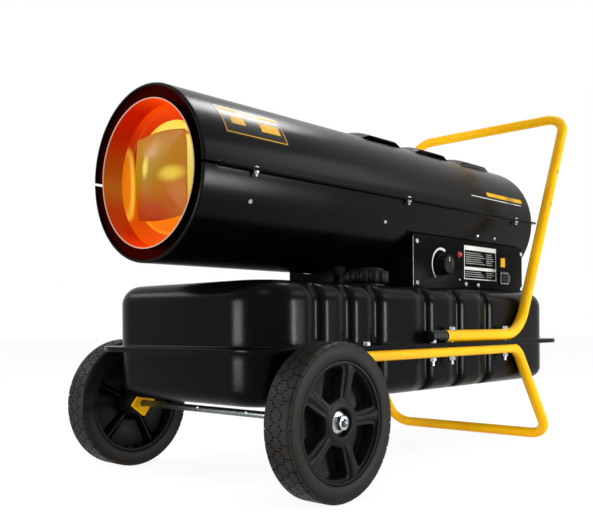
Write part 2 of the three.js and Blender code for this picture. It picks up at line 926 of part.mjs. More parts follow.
// A half of the tube with its two seam flanges. direction is 1 for the upper half.
function halfTube(direction) {
  const face = tubeZ + (direction * seat) / 2;
  const far = tubeZ + direction * (tubeRadius + 40);
  const low = Math.min(face, far);
  const high = Math.max(face, far);
  const half = box(outletX - 10, tubeRearX + 10, -tubeRadius - 40, tubeRadius + 40, low, high);
  const flangeStart = outletX + seamSlitLength;
  const flanges = [-1, 1].map((side) => {
    const y0 = side * (tubeRadius - 1);
    const y1 = side * (tubeRadius + seamFlange);
    const z1 = face + direction * sheet;
    const lowZ = Math.min(face, z1);
    const highZ = Math.max(face, z1);
    return box(flangeStart, tubeRearX, Math.min(y0, y1), Math.max(y0, y1), lowZ, highZ);
  });
  const wide = tubeRadius + 5;
  const z0 = tubeZ - seamSlit / 2;
  const slit = box(outletX - 5, flangeStart, -wide, wide, z0, z0 + seamSlit);
  return cut(join(keep(wholeTube(), half), ...flanges), slit);
}

// A raised bridge over a louvre, open along its two long sides.
function louvreBridge(middle) {
  const half = louvreLength / 2;
  const stations = [
    [-half, -0.4],
    [-half * 0.68, louvreRise * 0.75],
    [-half * 0.4, louvreRise],
    [half * 0.4, louvreRise],
    [half * 0.68, louvreRise * 0.75],
    [half, -0.4],
  ];
  const angle = louvreHalfAngle - louvreSlit;
  const steps = 4;
  const rings = stations.map(([along, lift]) => {
    const ring = [];
    for (const [radius, order] of [[tubeRadius + lift, 1], [tubeRadius + lift - sheet, -1]]) {
      for (let step = 0; step <= steps; step += 1) {
        const turn = degrees(90 + order * angle * ((2 * step) / steps - 1));
        const y = radius * Math.cos(turn);
        ring.push(at(middle + along, y, tubeZ + radius * Math.sin(turn)));
      }
    }
    return ring;
  });
  return loft(rings);
}

function seamScrew(side, x) {
  const through = at(x, side * seamScrewY, 0);
  const top = tubeZ + seat / 2 + sheet + seat;
  const under = tubeZ - seat / 2 - sheet - seat;
  const head = rod('z', top, top + 2.6, seamScrewHead, through, 12);
  const nut = rod('z', under - 3, under, hexRadius(7), through, 6);
  const shank = rod('z', under - 7, top + 1, seamScrewRadius, through, 8);
  return join(head, nut, shank);
}

function seamHoles() {
  const holes = [];
  for (const x of seamScrews) {
    for (const side of [-1, 1]) {
      const through = at(x, side * seamScrewY, 0);
      holes.push(rod('z', tubeZ - 5, tubeZ + 5, seamScrewRadius + boltClearance, through, 8));
    }
  }
  return holes;
}

function upperShell() {
  let shell = cut(halfTube(1), ...seamHoles());
  for (let i = 0; i < louvreCount; i += 1) {
    const middle = outletX + louvreStart + i * louvrePitch;
    const half = louvreLength / 2 - 6;
    const from = 90 - louvreHalfAngle;
    const to = 90 + louvreHalfAngle;
    const inner = shellInside - 3;
    const window = tubeBand(inner, tubeRadius + 3, from, to, middle - half, middle + half, 4);
    shell = join(cut(shell, window), louvreBridge(middle));
  }
  return shell;
}

function lowerShell() {
  const places = [[fuelLineX + 2, 15], [wireHoleX, 8], [pumpLineX, 8]];
  const holes = places.map(([x, radius]) => {
    return rod('z', tubeZ - tubeRadius - 5, tubeZ - shellInside + 12, radius, at(x, 0, 0), 12);
  });
  return cut(halfTube(-1), ...holes, ...seamHoles());
}

function rearGuard() {
  const x1 = tubeRearX - 3;
  const x0 = x1 - guardDepth;
  const outer = insideReach;
  const ring = (middle, wide, segments) => {
    const profile = [
      [middle - wide / 2, x0],
      [middle + wide / 2, x0],
      [middle + wide / 2, x1],
      [middle - wide / 2, x1],
    ];
    return turned('x', profile, tubePoint, segments);
  };
  const pieces = [ring(outer - 2, 4, tubeSegments)];
  for (let i = 1; i <= guardRings; i += 1) {
    pieces.push(ring(((outer - 2) * i) / (guardRings + 1), guardWire, 20));
  }
  const inner = (outer - 2) / (guardRings + 1);
  for (let i = 0; i < guardSpokes; i += 1) {
    const bar = box(x0 + 1, x1 - 1, inner, outer - 2, -guardWire / 2, guardWire / 2);
    bar.rotateX((TURN * (i + 0.5)) / guardSpokes);
    pieces.push(bar.translate(0, 0, tubeZ));
  }
  return join(...pieces);
}

add('upper_shell', upperShell(), finishes.shellPaint);
add('lower_shell', lowerShell(), finishes.shellPaint);
seamScrews.forEach((x, i) => {
  addPair(`seam_screw_${i + 1}`, (side) => seamScrew(side, x), finishes.zinc);
});
add('rear_guard', rearGuard(), finishes.zinc);

// ---------------------------------------------------------------- front support under the tube

// A sheet bent to a U that is open to the rear. Its upper edge follows the tube.
const supportFront = 326; // from the outlet
const supportLength = 32;
const supportWidth = 96;
const supportWall = 2.5;

function frontSupport() {
  const x0 = outletX + supportFront;
  const x1 = x0 + supportLength;
  const half = supportWidth / 2;
  const foot = tankTop + seat;
  const top = tubeZ - tubeRadius + 25;
  const block = box(x0, x1, -half, half, foot, top);
  const inner = half - supportWall;
  const hollow = box(x0 + supportWall, x1 + 5, -inner, inner, foot + supportWall, top + 5);
  const tube = rod('x', x0 - 5, x1 + 5, tubeRadius + seat, tubePoint, tubeSegments);
  return cut(block, hollow, tube);
}

add('front_support', frontSupport(), finishes.tankPaint);

// ---------------------------------------------------------------- hot parts inside the tube

const standoffPlaces = [85, 378]; // from the outlet
const standoffAngles = [90, 200, 340];
const standoffLength = 20;
const standoffHalfAngle = 4;

function heatShield() {
  const rear = outletX + shieldLength;
  const inside = shieldRadius - linerSheet;
  const front = outletX + 0.5;
  const profile = [
    [inside, rear],
    [shieldRadius, rear],
    [shieldRadius, front],
    [inside, front],
  ];
  const pieces = [turned('x', profile, tubePoint, tubeSegments)];
  for (const place of standoffPlaces) {
    const x = outletX + place;
    for (const angle of standoffAngles) {
      const from = angle - standoffHalfAngle;
      const to = angle + standoffHalfAngle;
      const half = standoffLength / 2;
      pieces.push(tubeBand(shieldRadius - 1, insideReach, from, to, x - half, x + half, 2));
    }
  }
  return join(...pieces);
}

const shieldInside = shieldRadius - linerSheet;
const chamberInside = chamberRadius - linerSheet;
const mouthRadius = chamberInside - chamberMouth;

function combustionChamber() {
  const reach = shieldInside - seat;
  const ringX = outletX + shieldLength - 30;
  const profile = [
    [chamberInside, chamberRearX],
    [chamberRadius, chamberRearX],
    [chamberRadius, ringX + linerSheet],
    [reach, ringX + linerSheet],
    [reach, ringX],
    [chamberRadius, ringX],
    [chamberRadius, chamberX + 14],
    [reach, chamberX + 3],
    [reach, chamberX],
    [reach - 2, chamberX],
    [mouthRadius, chamberX + 6],
    [mouthRadius, chamberX + 12],
    [chamberInside, chamberX + 16],
  ];
  return turned('x', profile, tubePoint, tubeSegments);
}

// A square plate pressed into a shallow dome with creases along its diagonals. Its corners are
// bent back and reach the chamber's mouth.
function flameBaffle() {
  const steps = 6;
  const front = chamberX + baffleSetback;
  const depthAt = (u, v) => {
    const radial = Math.min(1, Math.hypot(u, v) / Math.SQRT2);
    const square = Math.max(Math.abs(u), Math.abs(v));
    return baffleDome * (0.35 * square + 0.65 * radial * radial);
  };
  const layer = (offset) => {
    const points = [];
    for (let i = 0; i <= steps; i += 1) {
      for (let j = 0; j <= steps; j += 1) {
        const u = (2 * i) / steps - 1;
        const v = (2 * j) / steps - 1;
        const x = front - baffleDome + depthAt(u, v) + offset;
        points.push(at(x, u * baffleHalfWidth, tubeZ + v * baffleHalfHeight));
      }
    }
    return points;
  };
  const row = steps + 1;
  const back = row * row;
  const points = [...layer(0), ...layer(linerSheet + 0.3)];
  const faces = [];
  for (let i = 0; i < steps; i += 1) {
    for (let j = 0; j < steps; j += 1) {
      const a = i * row + j;
      const [b, c, d] = [a + row, a + row + 1, a + 1];
      const rising = (i < steps / 2) === (j < steps / 2);
      const halves = rising ? [[a, b, c], [a, c, d]] : [[a, b, d], [b, c, d]];
      for (const [p, q, r] of halves) {
        faces.push([p, r, q], [back + p, back + q, back + r]);
      }
    }
  }
  const rim = [];
  for (let i = 0; i < steps; i += 1) rim.push(i * row);
  for (let j = 0; j < steps; j += 1) rim.push(steps * row + j);
  for (let i = steps; i > 0; i -= 1) rim.push(i * row + steps);
  for (let j = steps; j > 0; j -= 1) rim.push(j);
  rim.forEach((p, i) => {
    const q = rim[(i + 1) % rim.length];
    faces.push([p, q, back + q], [p, back + q, back + p]);
  });
  return join(fromFaces(points, faces), ...baffleLegs(front));
}

function baffleLegs(front) {
  const legs = [];
  const corner = Math.hypot(baffleHalfWidth, baffleHalfHeight);
  const lean = Math.atan2(baffleHalfHeight, baffleHalfWidth);
  const reach = mouthRadius * Math.cos(Math.PI / tubeSegments) - 2 * seat;
  for (const angle of [lean, Math.PI - lean, Math.PI + lean, -lean]) {
    const leg = box(front, front + 8, corner - 9, reach, -4, 4);
    leg.rotateX(angle);
    legs.push(leg.translate(0, 0, tubeZ));
  }
  return legs;
}

const headThickness = 2;
const headX = chamberRearX + seat;

function burnerHead() {
  const disc = rod('x', headX, headX + headThickness, chamberRadius + 3, tubePoint, tubeSegments);
  const collar = turned(
    'x',
    [
      [chamberInside - seat - 2, headX - 10],
      [chamberInside - seat, headX - 10],
      [chamberInside - seat, headX + 1],
      [chamberInside - seat - 2, headX + 1],
    ],
    tubePoint,
    tubeSegments,
  );
  const centreHole = rod('x', headX - 5, headX + 5, nozzleRadius + seat, tubePoint, 16);
  const vents = [];
  for (let i = 0; i < headVents; i += 1) {
    const angle = (TURN * (i + 0.5)) / headVents;
    const centre = at(0, 55 * Math.cos(angle), tubeZ + 55 * Math.sin(angle));
    vents.push(rod('x', headX - 5, headX + 5, 9, centre, 8));
  }
  const igniterHole = rod('x', headX - 5, headX + 5, igniterRadius + seat, igniterPoint, 12);
  const cellHole = rod('x', headX - 5, headX + 5, cellRadius + seat, cellPoint, 12);
  return cut(join(disc, collar), centreHole, igniterHole, cellHole, ...vents);
}

const igniterRadius = 5;
const igniterPoint = at(0, 0, tubeZ + 32);
const cellRadius = 7;
const cellPoint = at(0, 32, tubeZ);

function sprayNozzle() {
  const body = turned(
    'x',
    [
      [0, headX - 22],
      [4, headX - 22],
      [8, headX - 16],
      [nozzleRadius, headX - 10],
      [nozzleRadius, headX + headThickness + seat],
      [nozzleRadius + 5, headX + headThickness + seat],
      [nozzleRadius + 5, headX + 8],
      [nozzleRadius - 3, headX + 8],
      [nozzleRadius - 3, headX + 36],
      [0, headX + 36],
    ],
    tubePoint,
    12,
  );
  const ports = [-lineSpacing, lineSpacing].map((y) => {
    const through = at(nozzleInletX, y, 0);
    return rod('z', tubeZ - 20, tubeZ - 4, lineRadius + 2, through, 8);
  });
  return join(body, ...ports);
}

function igniter() {
  const ceramic = rod('x', headX - 14, headX + 22, igniterRadius, igniterPoint, 12);
  const tip = rod('x', headX - 40, headX - 12, 1.2, igniterPoint, 6);
  const collar = rod('x', headX + headThickness + seat, headX + 6, igniterRadius + 4, igniterPoint, 12);
  return join(ceramic, tip, collar);
}

function photocell() {
  const barrel = rod('x', headX - 4, headX + 18, cellRadius, cellPoint, 12);
  const collar = rod('x', headX + headThickness + seat, headX + 6, cellRadius + 3, cellPoint, 12);
  return join(barrel, collar);
}

add('heat_shield', heatShield(), finishes.hotSteel);
add('combustion_chamber', combustionChamber(), finishes.hotSteel);
add('flame_baffle', flameBaffle(), finishes.hotSteel);
add('burner_head', burnerHead(), finishes.castMetal);
add('spray_nozzle', sprayNozzle(), finishes.brass);
add('igniter', igniter(), finishes.ceramic);
add('photocell', photocell(), finishes.blackPlastic);

// ---------------------------------------------------------------- motor, fan and air pump

const shaftBore = shaftRadius + runningGap;
const pumpX = motorRearX + seat;
const pumpRearX = pumpX + pumpLength;
const coverX = pumpRearX + seat;

function fanMotor() {
  const profile = [
    [shaftBore, motorX],
    [motorRadius - 14, motorX],
    [motorRadius - 3, motorX + 8],
    [motorRadius, motorX + 16],
    [motorRadius, motorRearX - 8],
    [motorRadius - 4, motorRearX],
    [shaftBore, motorRearX],
  ];
  return turned('x', profile, tubePoint, 24);
}

function motorShaft() {
  return rod('x', fanX - 4, pumpRearX - 3, shaftRadius, tubePoint, 16);
}

function fan() {
  const hub = turned(
    'x',
    [
      [shaftRadius + seat, fanX],
      [fanHubRadius - 4, fanX],
      [fanHubRadius, fanX + 4],
      [fanHubRadius, fanX + fanWidth],
      [shaftRadius + seat, fanX + fanWidth],
    ],
    tubePoint,
    24,
  );
  const blades = [];
  for (let i = 0; i < fanBlades; i += 1) {
    const outline = [
      [fanHubRadius - 3, -13],
      [fanRadius - 3, -24],
      [fanRadius - 1, 18],
      [fanHubRadius - 3, 13],
    ];
    const shape = new THREE.Shape(outline.map(([x, y]) => new THREE.Vector2(x, y)));
    const blade = new THREE.ExtrudeGeometry(shape, { depth: 2, bevelEnabled: false });
    blade.translate(0, 0, -1);
    // The blade's length becomes Y, its chord turns towards X by the pitch.
    blade.applyMatrix4(new THREE.Matrix4().makeBasis(at(0, 1, 0), at(0, 0, 1), at(1, 0, 0)));
    blade.rotateY(degrees(bladePitch));
    blade.rotateX((TURN * i) / fanBlades);
    blades.push(blade.translate(fanX + fanWidth / 2, 0, tubeZ));
  }
  const wheel = join(hub, ...blades);
  return cut(wheel, rod('x', fanX - 20, fanX + fanWidth + 20, shaftRadius + seat, tubePoint, 24));
}

function motorBracket() {
  const middle = motorX + motorLength / 2;
  const half = bracketLength / 2;
  const from = 205;
  const to = 335;
  const steps = 8;
  const inner = (motorRadius + seat) / Math.cos(degrees((to - from) / steps / 2));
  const x0 = middle - half;
  const x1 = middle + half;
  const saddle = tubeBand(inner, inner + bracketSheet, from, to, x0, x1, steps);
  const webX = middle - bracketSheet / 2;
  const web = tubeBand(inner + 1, insideReach, from, to, webX, webX + bracketSheet, steps);
  const foot = tubeBand(insideReach - 2, insideReach, from, to, x0, x1, steps);
  const holePoint = at(0, 0, tubeZ - (motorRadius + shellInside) / 2);
  const lineHole = rod('x', middle - 5, middle + 5, bracketHoleRadius, holePoint, 12);
  return cut(join(saddle, web, foot), lineHole);
}

function pumpBody() {
  const profile = [
    [shaftBore, pumpX],
    [pumpRadius, pumpX],
    [pumpRadius, pumpRearX],
    [pumpChamberRadius, pumpRearX],
    [pumpChamberRadius, pumpX + 4],
    [shaftBore, pumpX + 4],
  ];
  const body = turned('x', profile, tubePoint, 24);
  const through = at(pumpLineX, 0, 0);
  const foot = tubeZ - pumpRadius - pumpPort;
  const port = rod('z', foot, tubeZ - pumpRadius + 3, lineRadius + 2, through, 10);
  return join(body, port);
}

function pumpRotor() {
  const start = pumpX + 4 + runningGap;
  const profile = [
    [shaftRadius + seat, start],
    [pumpRotorRadius, start],
    [pumpRotorRadius, pumpRearX - runningGap],
    [shaftRadius + seat, pumpRearX - runningGap],
  ];
  return turned('x', profile, tubePoint, 24);
}

function pumpCover() {
  const profile = [
    [0, coverX],
    [pumpRadius, coverX],
    [pumpRadius, coverX + coverLength - 6],
    [pumpRadius - 6, coverX + coverLength],
    [14, coverX + coverLength],
    [14, coverX + coverLength + 6],
    [0, coverX + coverLength + 6],
  ];
  return turned('x', profile, tubePoint, 24);
}

add('fan_motor', fanMotor(), finishes.motorPaint);
add('motor_shaft', motorShaft(), finishes.zinc);
add('fan', fan(), finishes.castMetal);
add('motor_bracket', motorBracket(), finishes.zinc);
add('pump_body', pumpBody(), finishes.castMetal);
add('pump_rotor', pumpRotor(), finishes.castMetal);
add('pump_cover', pumpCover(), finishes.blackPlastic);

// ---------------------------------------------------------------- control box

const knobPoint = at(knobX, 0, boxFloor + knobHeight);
const lampPoint = at(lampX, 0, boxFloor + lampHeight);
const switchZ = boxFloor + switchHeight;
const knobShaftRadius = 3.5;
const glandPoint = at(0, glandY, boxFloor + glandHeight);

// What the box and its panel leave free for the tube.
function tubeSpace() {
  return rod('x', boxX - 5, boxRearX + 5, tubeRadius + seat, tubePoint, tubeSegments);
}

function controlBox() {
  const half = boxWidth / 2;
  const block = box(boxX, boxRearX, boxFace, half, boxFloor, boxTop);
  const inside = box(
    boxX + sheet,
    boxRearX - sheet,
    boxFace + sheet,
    half - sheet,
    boxFloor + sheet,
    boxTop - sheet,
  );
  const window = box(
    boxX + windowMargin,
    boxRearX - windowMargin,
    boxFace - 5,
    boxFace + 5,
    boxFloor + windowMargin,
    boxTop - windowMargin,
  );
  const gland = rod('x', boxRearX - 10, boxRearX + 10, glandRadius + seat, glandPoint, 16);
  const pickup = rod('z', boxFloor - 5, boxFloor + 5, pickupRadius + seat, at(pickupX, 0, 0), 12);
  return cut(block, inside, window, tubeSpace(), gland, pickup);
}

function sidePanel() {
  const plate = box(boxX, boxRearX, panelFace, panelFace + sheet, boxFloor, boxTop);
  const y0 = panelFace - 5;
  const y1 = panelFace + 5;
  const knobHole = rod('y', y0, y1, knobShaftRadius + runningGap, knobPoint, 12);
  const lampHole = rod('y', y0, y1, lampRadius - 1 + seat, lampPoint, 12);
  const halfX = switchWidth / 2 - switchBezel + seat;
  const halfZ = switchTall / 2 - switchBezel + seat;
  const switchHole = box(switchX - halfX, switchX + halfX, y0, y1, switchZ - halfZ, switchZ + halfZ);
  return cut(plate, knobHole, lampHole, switchHole, tubeSpace());
}

function thermostatKnob() {
  const back = panelFace - seat;
  const front = back - knobDepth;
  const outline = [];
  const flutes = 12;
  for (let i = 0; i < flutes * 4; i += 1) {
    const angle = (TURN * i) / (flutes * 4);
    const radius = knobRadius - 0.9 + 0.9 * Math.cos(angle * flutes);
    outline.push([knobX + radius * Math.cos(angle), knobPoint.z + radius * Math.sin(angle)]);
  }
  const grip = alongY(outline, front, back - 4);
  const skirt = turned(
    'y',
    [
      [0, back],
      [knobRadius, back],
      [knobRadius, back - 3],
      [knobRadius - 2, back - 5],
      [0, back - 5],
    ],
    knobPoint,
    32,
  );
  const shaft = rod('y', back - 2, panelFace + 18, knobShaftRadius, knobPoint, 12);
  const halfZ = 1.2;
  const groove = box(
    knobX - 1.2,
    knobX + 1.2,
    front - 1,
    front + 1.2,
    knobPoint.z + knobRadius * 0.35,
    knobPoint.z + knobRadius + halfZ,
  );
  return cut(join(grip, skirt, shaft), groove);
}

function thermostatBody() {
  const start = panelFace + sheet + seat;
  const bore = knobShaftRadius + runningGap;
  const profile = [
    [bore, start],
    [12, start],
    [12, start + 6],
    [17, start + 6],
    [17, start + thermostatDepth],
    [0, start + thermostatDepth],
    [0, start + thermostatDepth - 5],
    [bore, start + thermostatDepth - 5],
  ];
  return turned('y', profile.reverse(), knobPoint, 20);
}

function indicatorLamp() {
  const profile = [
    [0, panelFace + lampDepth],
    [lampRadius - 1, panelFace + lampDepth],
    [lampRadius - 1, panelFace - seat],
    [lampRadius + 0.8, panelFace - seat],
    [lampRadius + 0.8, panelFace - 1.8],
    [lampRadius - 0.4, panelFace - 3.6],
    [lampRadius * 0.55, panelFace - 5.2],
    [0, panelFace - 5.8],
  ];
  return turned('y', profile, lampPoint, 20);
}

const rockerHalfWidth = switchWidth / 2 - switchBezel - 2.5;
const rockerHalfTall = switchTall / 2 - switchBezel - 1.2;
const rockerPivot = at(switchX, panelFace - 0.5, switchZ);

function switchHousing() {
  const halfX = switchWidth / 2;
  const halfZ = switchTall / 2;
  const faceY = panelFace - seat;
  const bezel = box(switchX - halfX, switchX + halfX, faceY - 2.5, faceY, switchZ - halfZ, switchZ + halfZ);
  const bodyX = halfX - switchBezel;
  const bodyZ = halfZ - switchBezel;
  const body = box(
    switchX - bodyX,
    switchX + bodyX,
    faceY - 1,
    panelFace + 26,
    switchZ - bodyZ,
    switchZ + bodyZ,
  );
  const wellX = bodyX - 0.7;
  const wellZ = bodyZ - 0.7;
  const well = box(
    switchX - wellX,
    switchX + wellX,
    faceY - 5,
    panelFace + 12,
    switchZ - wellZ,
    switchZ + wellZ,
  );
  return cut(join(bezel, body), well);
}

// The rocker tips about an upright pivot. At rest its rear end stands out.
function switchRocker() {
  const outline = [
    [-rockerHalfWidth, -rockerFace],
    [rockerHalfWidth, -rockerFace],
    [rockerHalfWidth, 1],
    [rockerHalfWidth - 4, 7],
    [4 - rockerHalfWidth, 7],
    [-rockerHalfWidth, 1],
  ];
  const shape = new THREE.Shape(outline.map(([x, y]) => new THREE.Vector2(x, y)));
  const rocker = new THREE.ExtrudeGeometry(shape, { depth: 2 * rockerHalfTall, bevelEnabled: false });
  rocker.translate(0, 0, -rockerHalfTall);
  rocker.rotateZ(degrees(-rockerTilt));
  return rocker.translate(rockerPivot.x, rockerPivot.y, rockerPivot.z);
}

function circuitBoard() {
  const x0 = boxX + boardStart;
  const x1 = x0 + boardLength;
  const y0 = -boardWidth * 0.93;
  const y1 = y0 + boardWidth;
  const floor = boxFloor + sheet + seat;
  const foot = boardRise / 2;
  const board = box(x0, x1, y0, y1, floor + boardRise, floor + boardRise + boardSheet);
  const feet = [];
  for (const x of [x0 + 2 * foot, x1 - 2 * foot]) {
    for (const y of [y0 + 2 * foot, y1 - 2 * foot]) {
      feet.push(rod('z', floor, floor + boardRise + boardSheet / 2, foot, at(x, y, 0), 8));
    }
  }
  // Places and sizes of the parts are shares of the board.
  const low = floor + boardRise + boardSheet / 2;
  const part = (fromX, toX, fromY, toY, height) => {
    const alongX0 = x0 + boardLength * fromX;
    const alongX1 = x0 + boardLength * toX;
    const acrossY0 = y0 + boardWidth * fromY;
    return box(alongX0, alongX1, acrossY0, y0 + boardWidth * toY, low, low + partHeight * height);
  };
  const drum = at(x0 + boardLength / 3, y0 + boardWidth * 0.75, 0);
  const parts = [
    part(0.13, 0.36, 0.14, 0.4, 1),
    part(0.44, 0.69, 0.17, 0.49, 0.85),
    part(0.76, 0.89, 0.14, 0.71, 0.77),
    rod('z', low, low + partHeight * 0.92, boardRise, drum, 12),
  ];
  return join(board, ...feet, ...parts);
}

function ignitionTransformer() {
  const floor = boxFloor + sheet + seat;
  const x0 = boxRearX - transformerBack;
  const y0 = -boardWidth;
  const body = box(x0, x0 + transformerLength, y0, y0 + transformerWidth, floor, floor + transformerHeight);
  const towerPoint = at(x0 + transformerLength / 6, y0 + transformerWidth / 2, 0);
  const towerTop = floor + transformerHeight * 1.33;
  const tower = rod('z', floor + transformerHeight / 2, towerTop, transformerWidth / 5, towerPoint, 12);
  return join(body, tower);
}

function cableGland() {
  const wall = boxRearX;
  const body = turned(
    'x',
    [
      [4, wall - 12],
      [glandRadius, wall - 12],
      [glandRadius, wall + seat],
      [glandRadius + 4, wall + seat],
      [glandRadius + 4, wall + 6],
      [glandRadius + 2, wall + 8],
      [glandRadius + 2, wall + 16],
      [glandRadius - 1, wall + 20],
      [4, wall + 20],
    ],
    glandPoint,
    16,
  );
  return body;
}

add('control_box', controlBox(), finishes.shellPaint);
add('side_panel', sidePanel(), finishes.shellPaint);
add('thermostat_knob', thermostatKnob(), finishes.blackPlastic);
add('thermostat_body', thermostatBody(), finishes.blackPlastic);
add('indicator_lamp', indicatorLamp(), finishes.lampLens);
add('switch_housing', switchHousing(), finishes.blackPlastic);
add('switch_rocker', switchRocker(), finishes.blackPlastic);
add('circuit_board', circuitBoard(), finishes.boardGreen);
add('ignition_transformer', ignitionTransformer(), finishes.castMetal);
add('cable_gland', cableGland(), finishes.blackPlastic);

// ---------------------------------------------------------------- fuel and air lines

function fuelPickup() {
  const through = at(pickupX, 0, 0);
  const bottom = groundClearance + sheet + strainerGap;
  const tubeFoot = bottom + strainerLength / 2;
  return join(
    rod('z', tubeFoot, boxFloor + pickupRise, pickupRadius, through, 12),
    rod('z', bottom, bottom + strainerLength, strainerRadius, through, 12),
  );
}

function pipe(corners) {
  return sweep(bentLine(corners, 4), at(0, 1, 0), 6, () => [lineRadius, lineRadius]);
}

function fuelLine() {
  const portZ = tubeZ - 20 - seat;
  const y = -lineSpacing;
  return pipe([
    [at(pickupX, 0, boxFloor + pickupRise + seat), 0],
    [at(pickupX, 0, tubeZ - lineDrop), lineBend],
    [at(nozzleInletX, y, tubeZ - lineDrop / 2), lineBend],
    [at(nozzleInletX, y, portZ), 0],
  ]);
}

function airLine() {
  const y = lineSpacing;
  const portZ = tubeZ - 20 - seat;
  const low = boxFloor + airRunHeight;
  const riseX = pickupX + lineSpacing / 2;
  return pipe([
    [at(pumpLineX, 0, tubeZ - pumpRadius - pumpPort - seat), 0],
    [at(pumpLineX, 0, low), lineBend],
    [at(pumpLineX - airRunY * 1.2, airRunY, low), airRunBend],
    [at(pickupX + airRunY * 0.67, airRunY, low), airRunBend * 0.67],
    [at(riseX, y, low), lineBend],
    [at(riseX, y, tubeZ - lineDrop - 2 * lineRadius), lineBend],
    [at(nozzleInletX, y, tubeZ - lineDrop / 2 - 2 * lineRadius), lineBend],
    [at(nozzleInletX, y, portZ), 0],
  ]);
}

add('fuel_pickup', fuelPickup(), finishes.brass);
add('fuel_line', fuelLine(), finishes.brass);
add('air_line', airLine(), finishes.blackPlastic);

// ---------------------------------------------------------------- footprint's middle at origin

const bounds = new THREE.Box3().setFromObject(heater);
const middle = bounds.getCenter(at(0, 0, 0));
heater.position.set(-middle.x, -middle.y, -bounds.min.z);

export default heater;
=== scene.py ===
# %% [markdown]
# # A forced air heater on two wheels
# A black steel tube blows hot air to the front. It lies on a pressed fuel tank, and a yellow
# tubular frame carries both on two wheels. The imported model gives every size and place, so the
# pieces here only have to look right: smooth skins, rolled edges, screws, paint and rubber.
# The first cell loads that frame.

# %% Load the frame
import math

import bmesh
import bpy
from mathutils import Matrix, Quaternion, Vector


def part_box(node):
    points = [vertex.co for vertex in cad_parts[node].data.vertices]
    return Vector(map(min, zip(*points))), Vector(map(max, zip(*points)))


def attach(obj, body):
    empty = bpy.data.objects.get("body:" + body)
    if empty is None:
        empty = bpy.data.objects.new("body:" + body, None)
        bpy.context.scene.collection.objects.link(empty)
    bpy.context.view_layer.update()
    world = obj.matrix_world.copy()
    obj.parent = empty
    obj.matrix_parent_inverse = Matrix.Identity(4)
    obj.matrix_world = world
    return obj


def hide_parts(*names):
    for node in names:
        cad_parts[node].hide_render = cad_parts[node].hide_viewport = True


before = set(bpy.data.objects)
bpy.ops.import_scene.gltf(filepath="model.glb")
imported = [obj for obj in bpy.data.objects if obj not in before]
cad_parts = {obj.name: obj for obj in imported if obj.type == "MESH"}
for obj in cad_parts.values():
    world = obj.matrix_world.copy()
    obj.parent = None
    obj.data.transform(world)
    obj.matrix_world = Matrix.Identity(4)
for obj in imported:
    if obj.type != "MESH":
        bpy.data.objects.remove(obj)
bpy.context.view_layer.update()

# %% [markdown]
# Sizes are easier to read in millimetres, so every shape is thought of in millimetres and scaled
# once, when its mesh is made. The places that matter most are measured on the frame: the axle,
# the tube's middle line, the outlet and the seam of the tank.

# %% Sizes from the frame, in millimetres
MM = 0.001


def span(*nodes):
    """Lowest and highest corner of some nodes."""
    corners = [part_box(node) for node in nodes]
    low = [min(c[0][i] for c in corners) / MM for i in range(3)]
    high = [max(c[1][i] for c in corners) / MM for i in range(3)]
    return Vector(low), Vector(high)


def middle(*nodes):
    low, high = span(*nodes)
    return (low + high) / 2


axle = middle("axle")
tube_z = middle("motor_shaft").z
outlet_x = span("lower_shell")[0].x
tube_rear = span("lower_shell")[1].x
tube_radius = 117
sheet = 1.5
SIDES = ((-1, "left"), (1, "right"))
print("axle at", [round(v, 1) for v in axle], "tube from", round(outlet_x), "to", round(tube_rear))

# %% [markdown]
# The camera comes first, because every later choice is judged through it. The photograph was
# taken level, from low in front of the heater's left side, with a lens of about 48 mm. The frame
# was cropped above the level line, which the camera repeats with a vertical shift.

# %% Camera
CAMERA_PLACE = (-1.07925, -0.8438, 0.2203)
CAMERA_HEADING = math.radians(47.41)  # from +Y towards +X
CAMERA_ROLL = math.radians(-0.45)


def in_scene(name, data):
    """A new object that shows a mesh, a lamp or a camera."""
    thing = bpy.data.objects.new(name, data)
    bpy.context.scene.collection.objects.link(thing)
    return thing


ahead = Vector((math.sin(CAMERA_HEADING), math.cos(CAMERA_HEADING), 0))
level = Vector((math.cos(CAMERA_HEADING), -math.sin(CAMERA_HEADING), 0))
right = level * math.cos(CAMERA_ROLL) + Vector((0, 0, 1)) * math.sin(CAMERA_ROLL)
lens = bpy.data.cameras.new("camera")
lens.lens = 48
lens.sensor_width = 36
lens.shift_y = 0.1005
camera = in_scene("camera", lens)
camera.matrix_world = Matrix((right, right.cross(ahead), -ahead)).transposed().to_4x4()
camera.location = CAMERA_PLACE
bpy.context.scene.camera = camera
print("camera at", CAMERA_PLACE)

# %% [markdown]
# One small function, `put`, adds a node to any tree, shader or geometry, with the node's own
# settings and its sockets. `fill` sets the sockets: a plain value is stored, and a node, one of
# its outputs, or a list of nodes is linked. Colours are written as sRGB hex values, as a paint
# chart gives them, and one function turns them to linear.


# %% Node and colour helpers
def fill(node, inputs):
    """Sets sockets to plain values, or links them. A node stands for its first output."""
    for name, given in inputs.items():
        for value in given if isinstance(given, list) else [given]:
            if isinstance(value, bpy.types.Node):
                value = value.outputs[0]
            if isinstance(value, bpy.types.NodeSocket):
                node.id_data.links.new(value, node.inputs[name])
            else:
                node.inputs[name].default_value = value


def put(tree, kind, inputs=None, stops=(), **settings):
    """Adds a node with its settings and sockets. stops are (position, hex) on a colour ramp."""
    node = tree.nodes.new(kind)
    for index, (place, value) in enumerate(stops):
        elements = node.color_ramp.elements
        element = elements[index] if index < 2 else elements.new(place)
        element.position = place
        element.color = colour(value)
    for name, value in settings.items():
        setattr(node, name, value)
    fill(node, inputs or {})
    return node


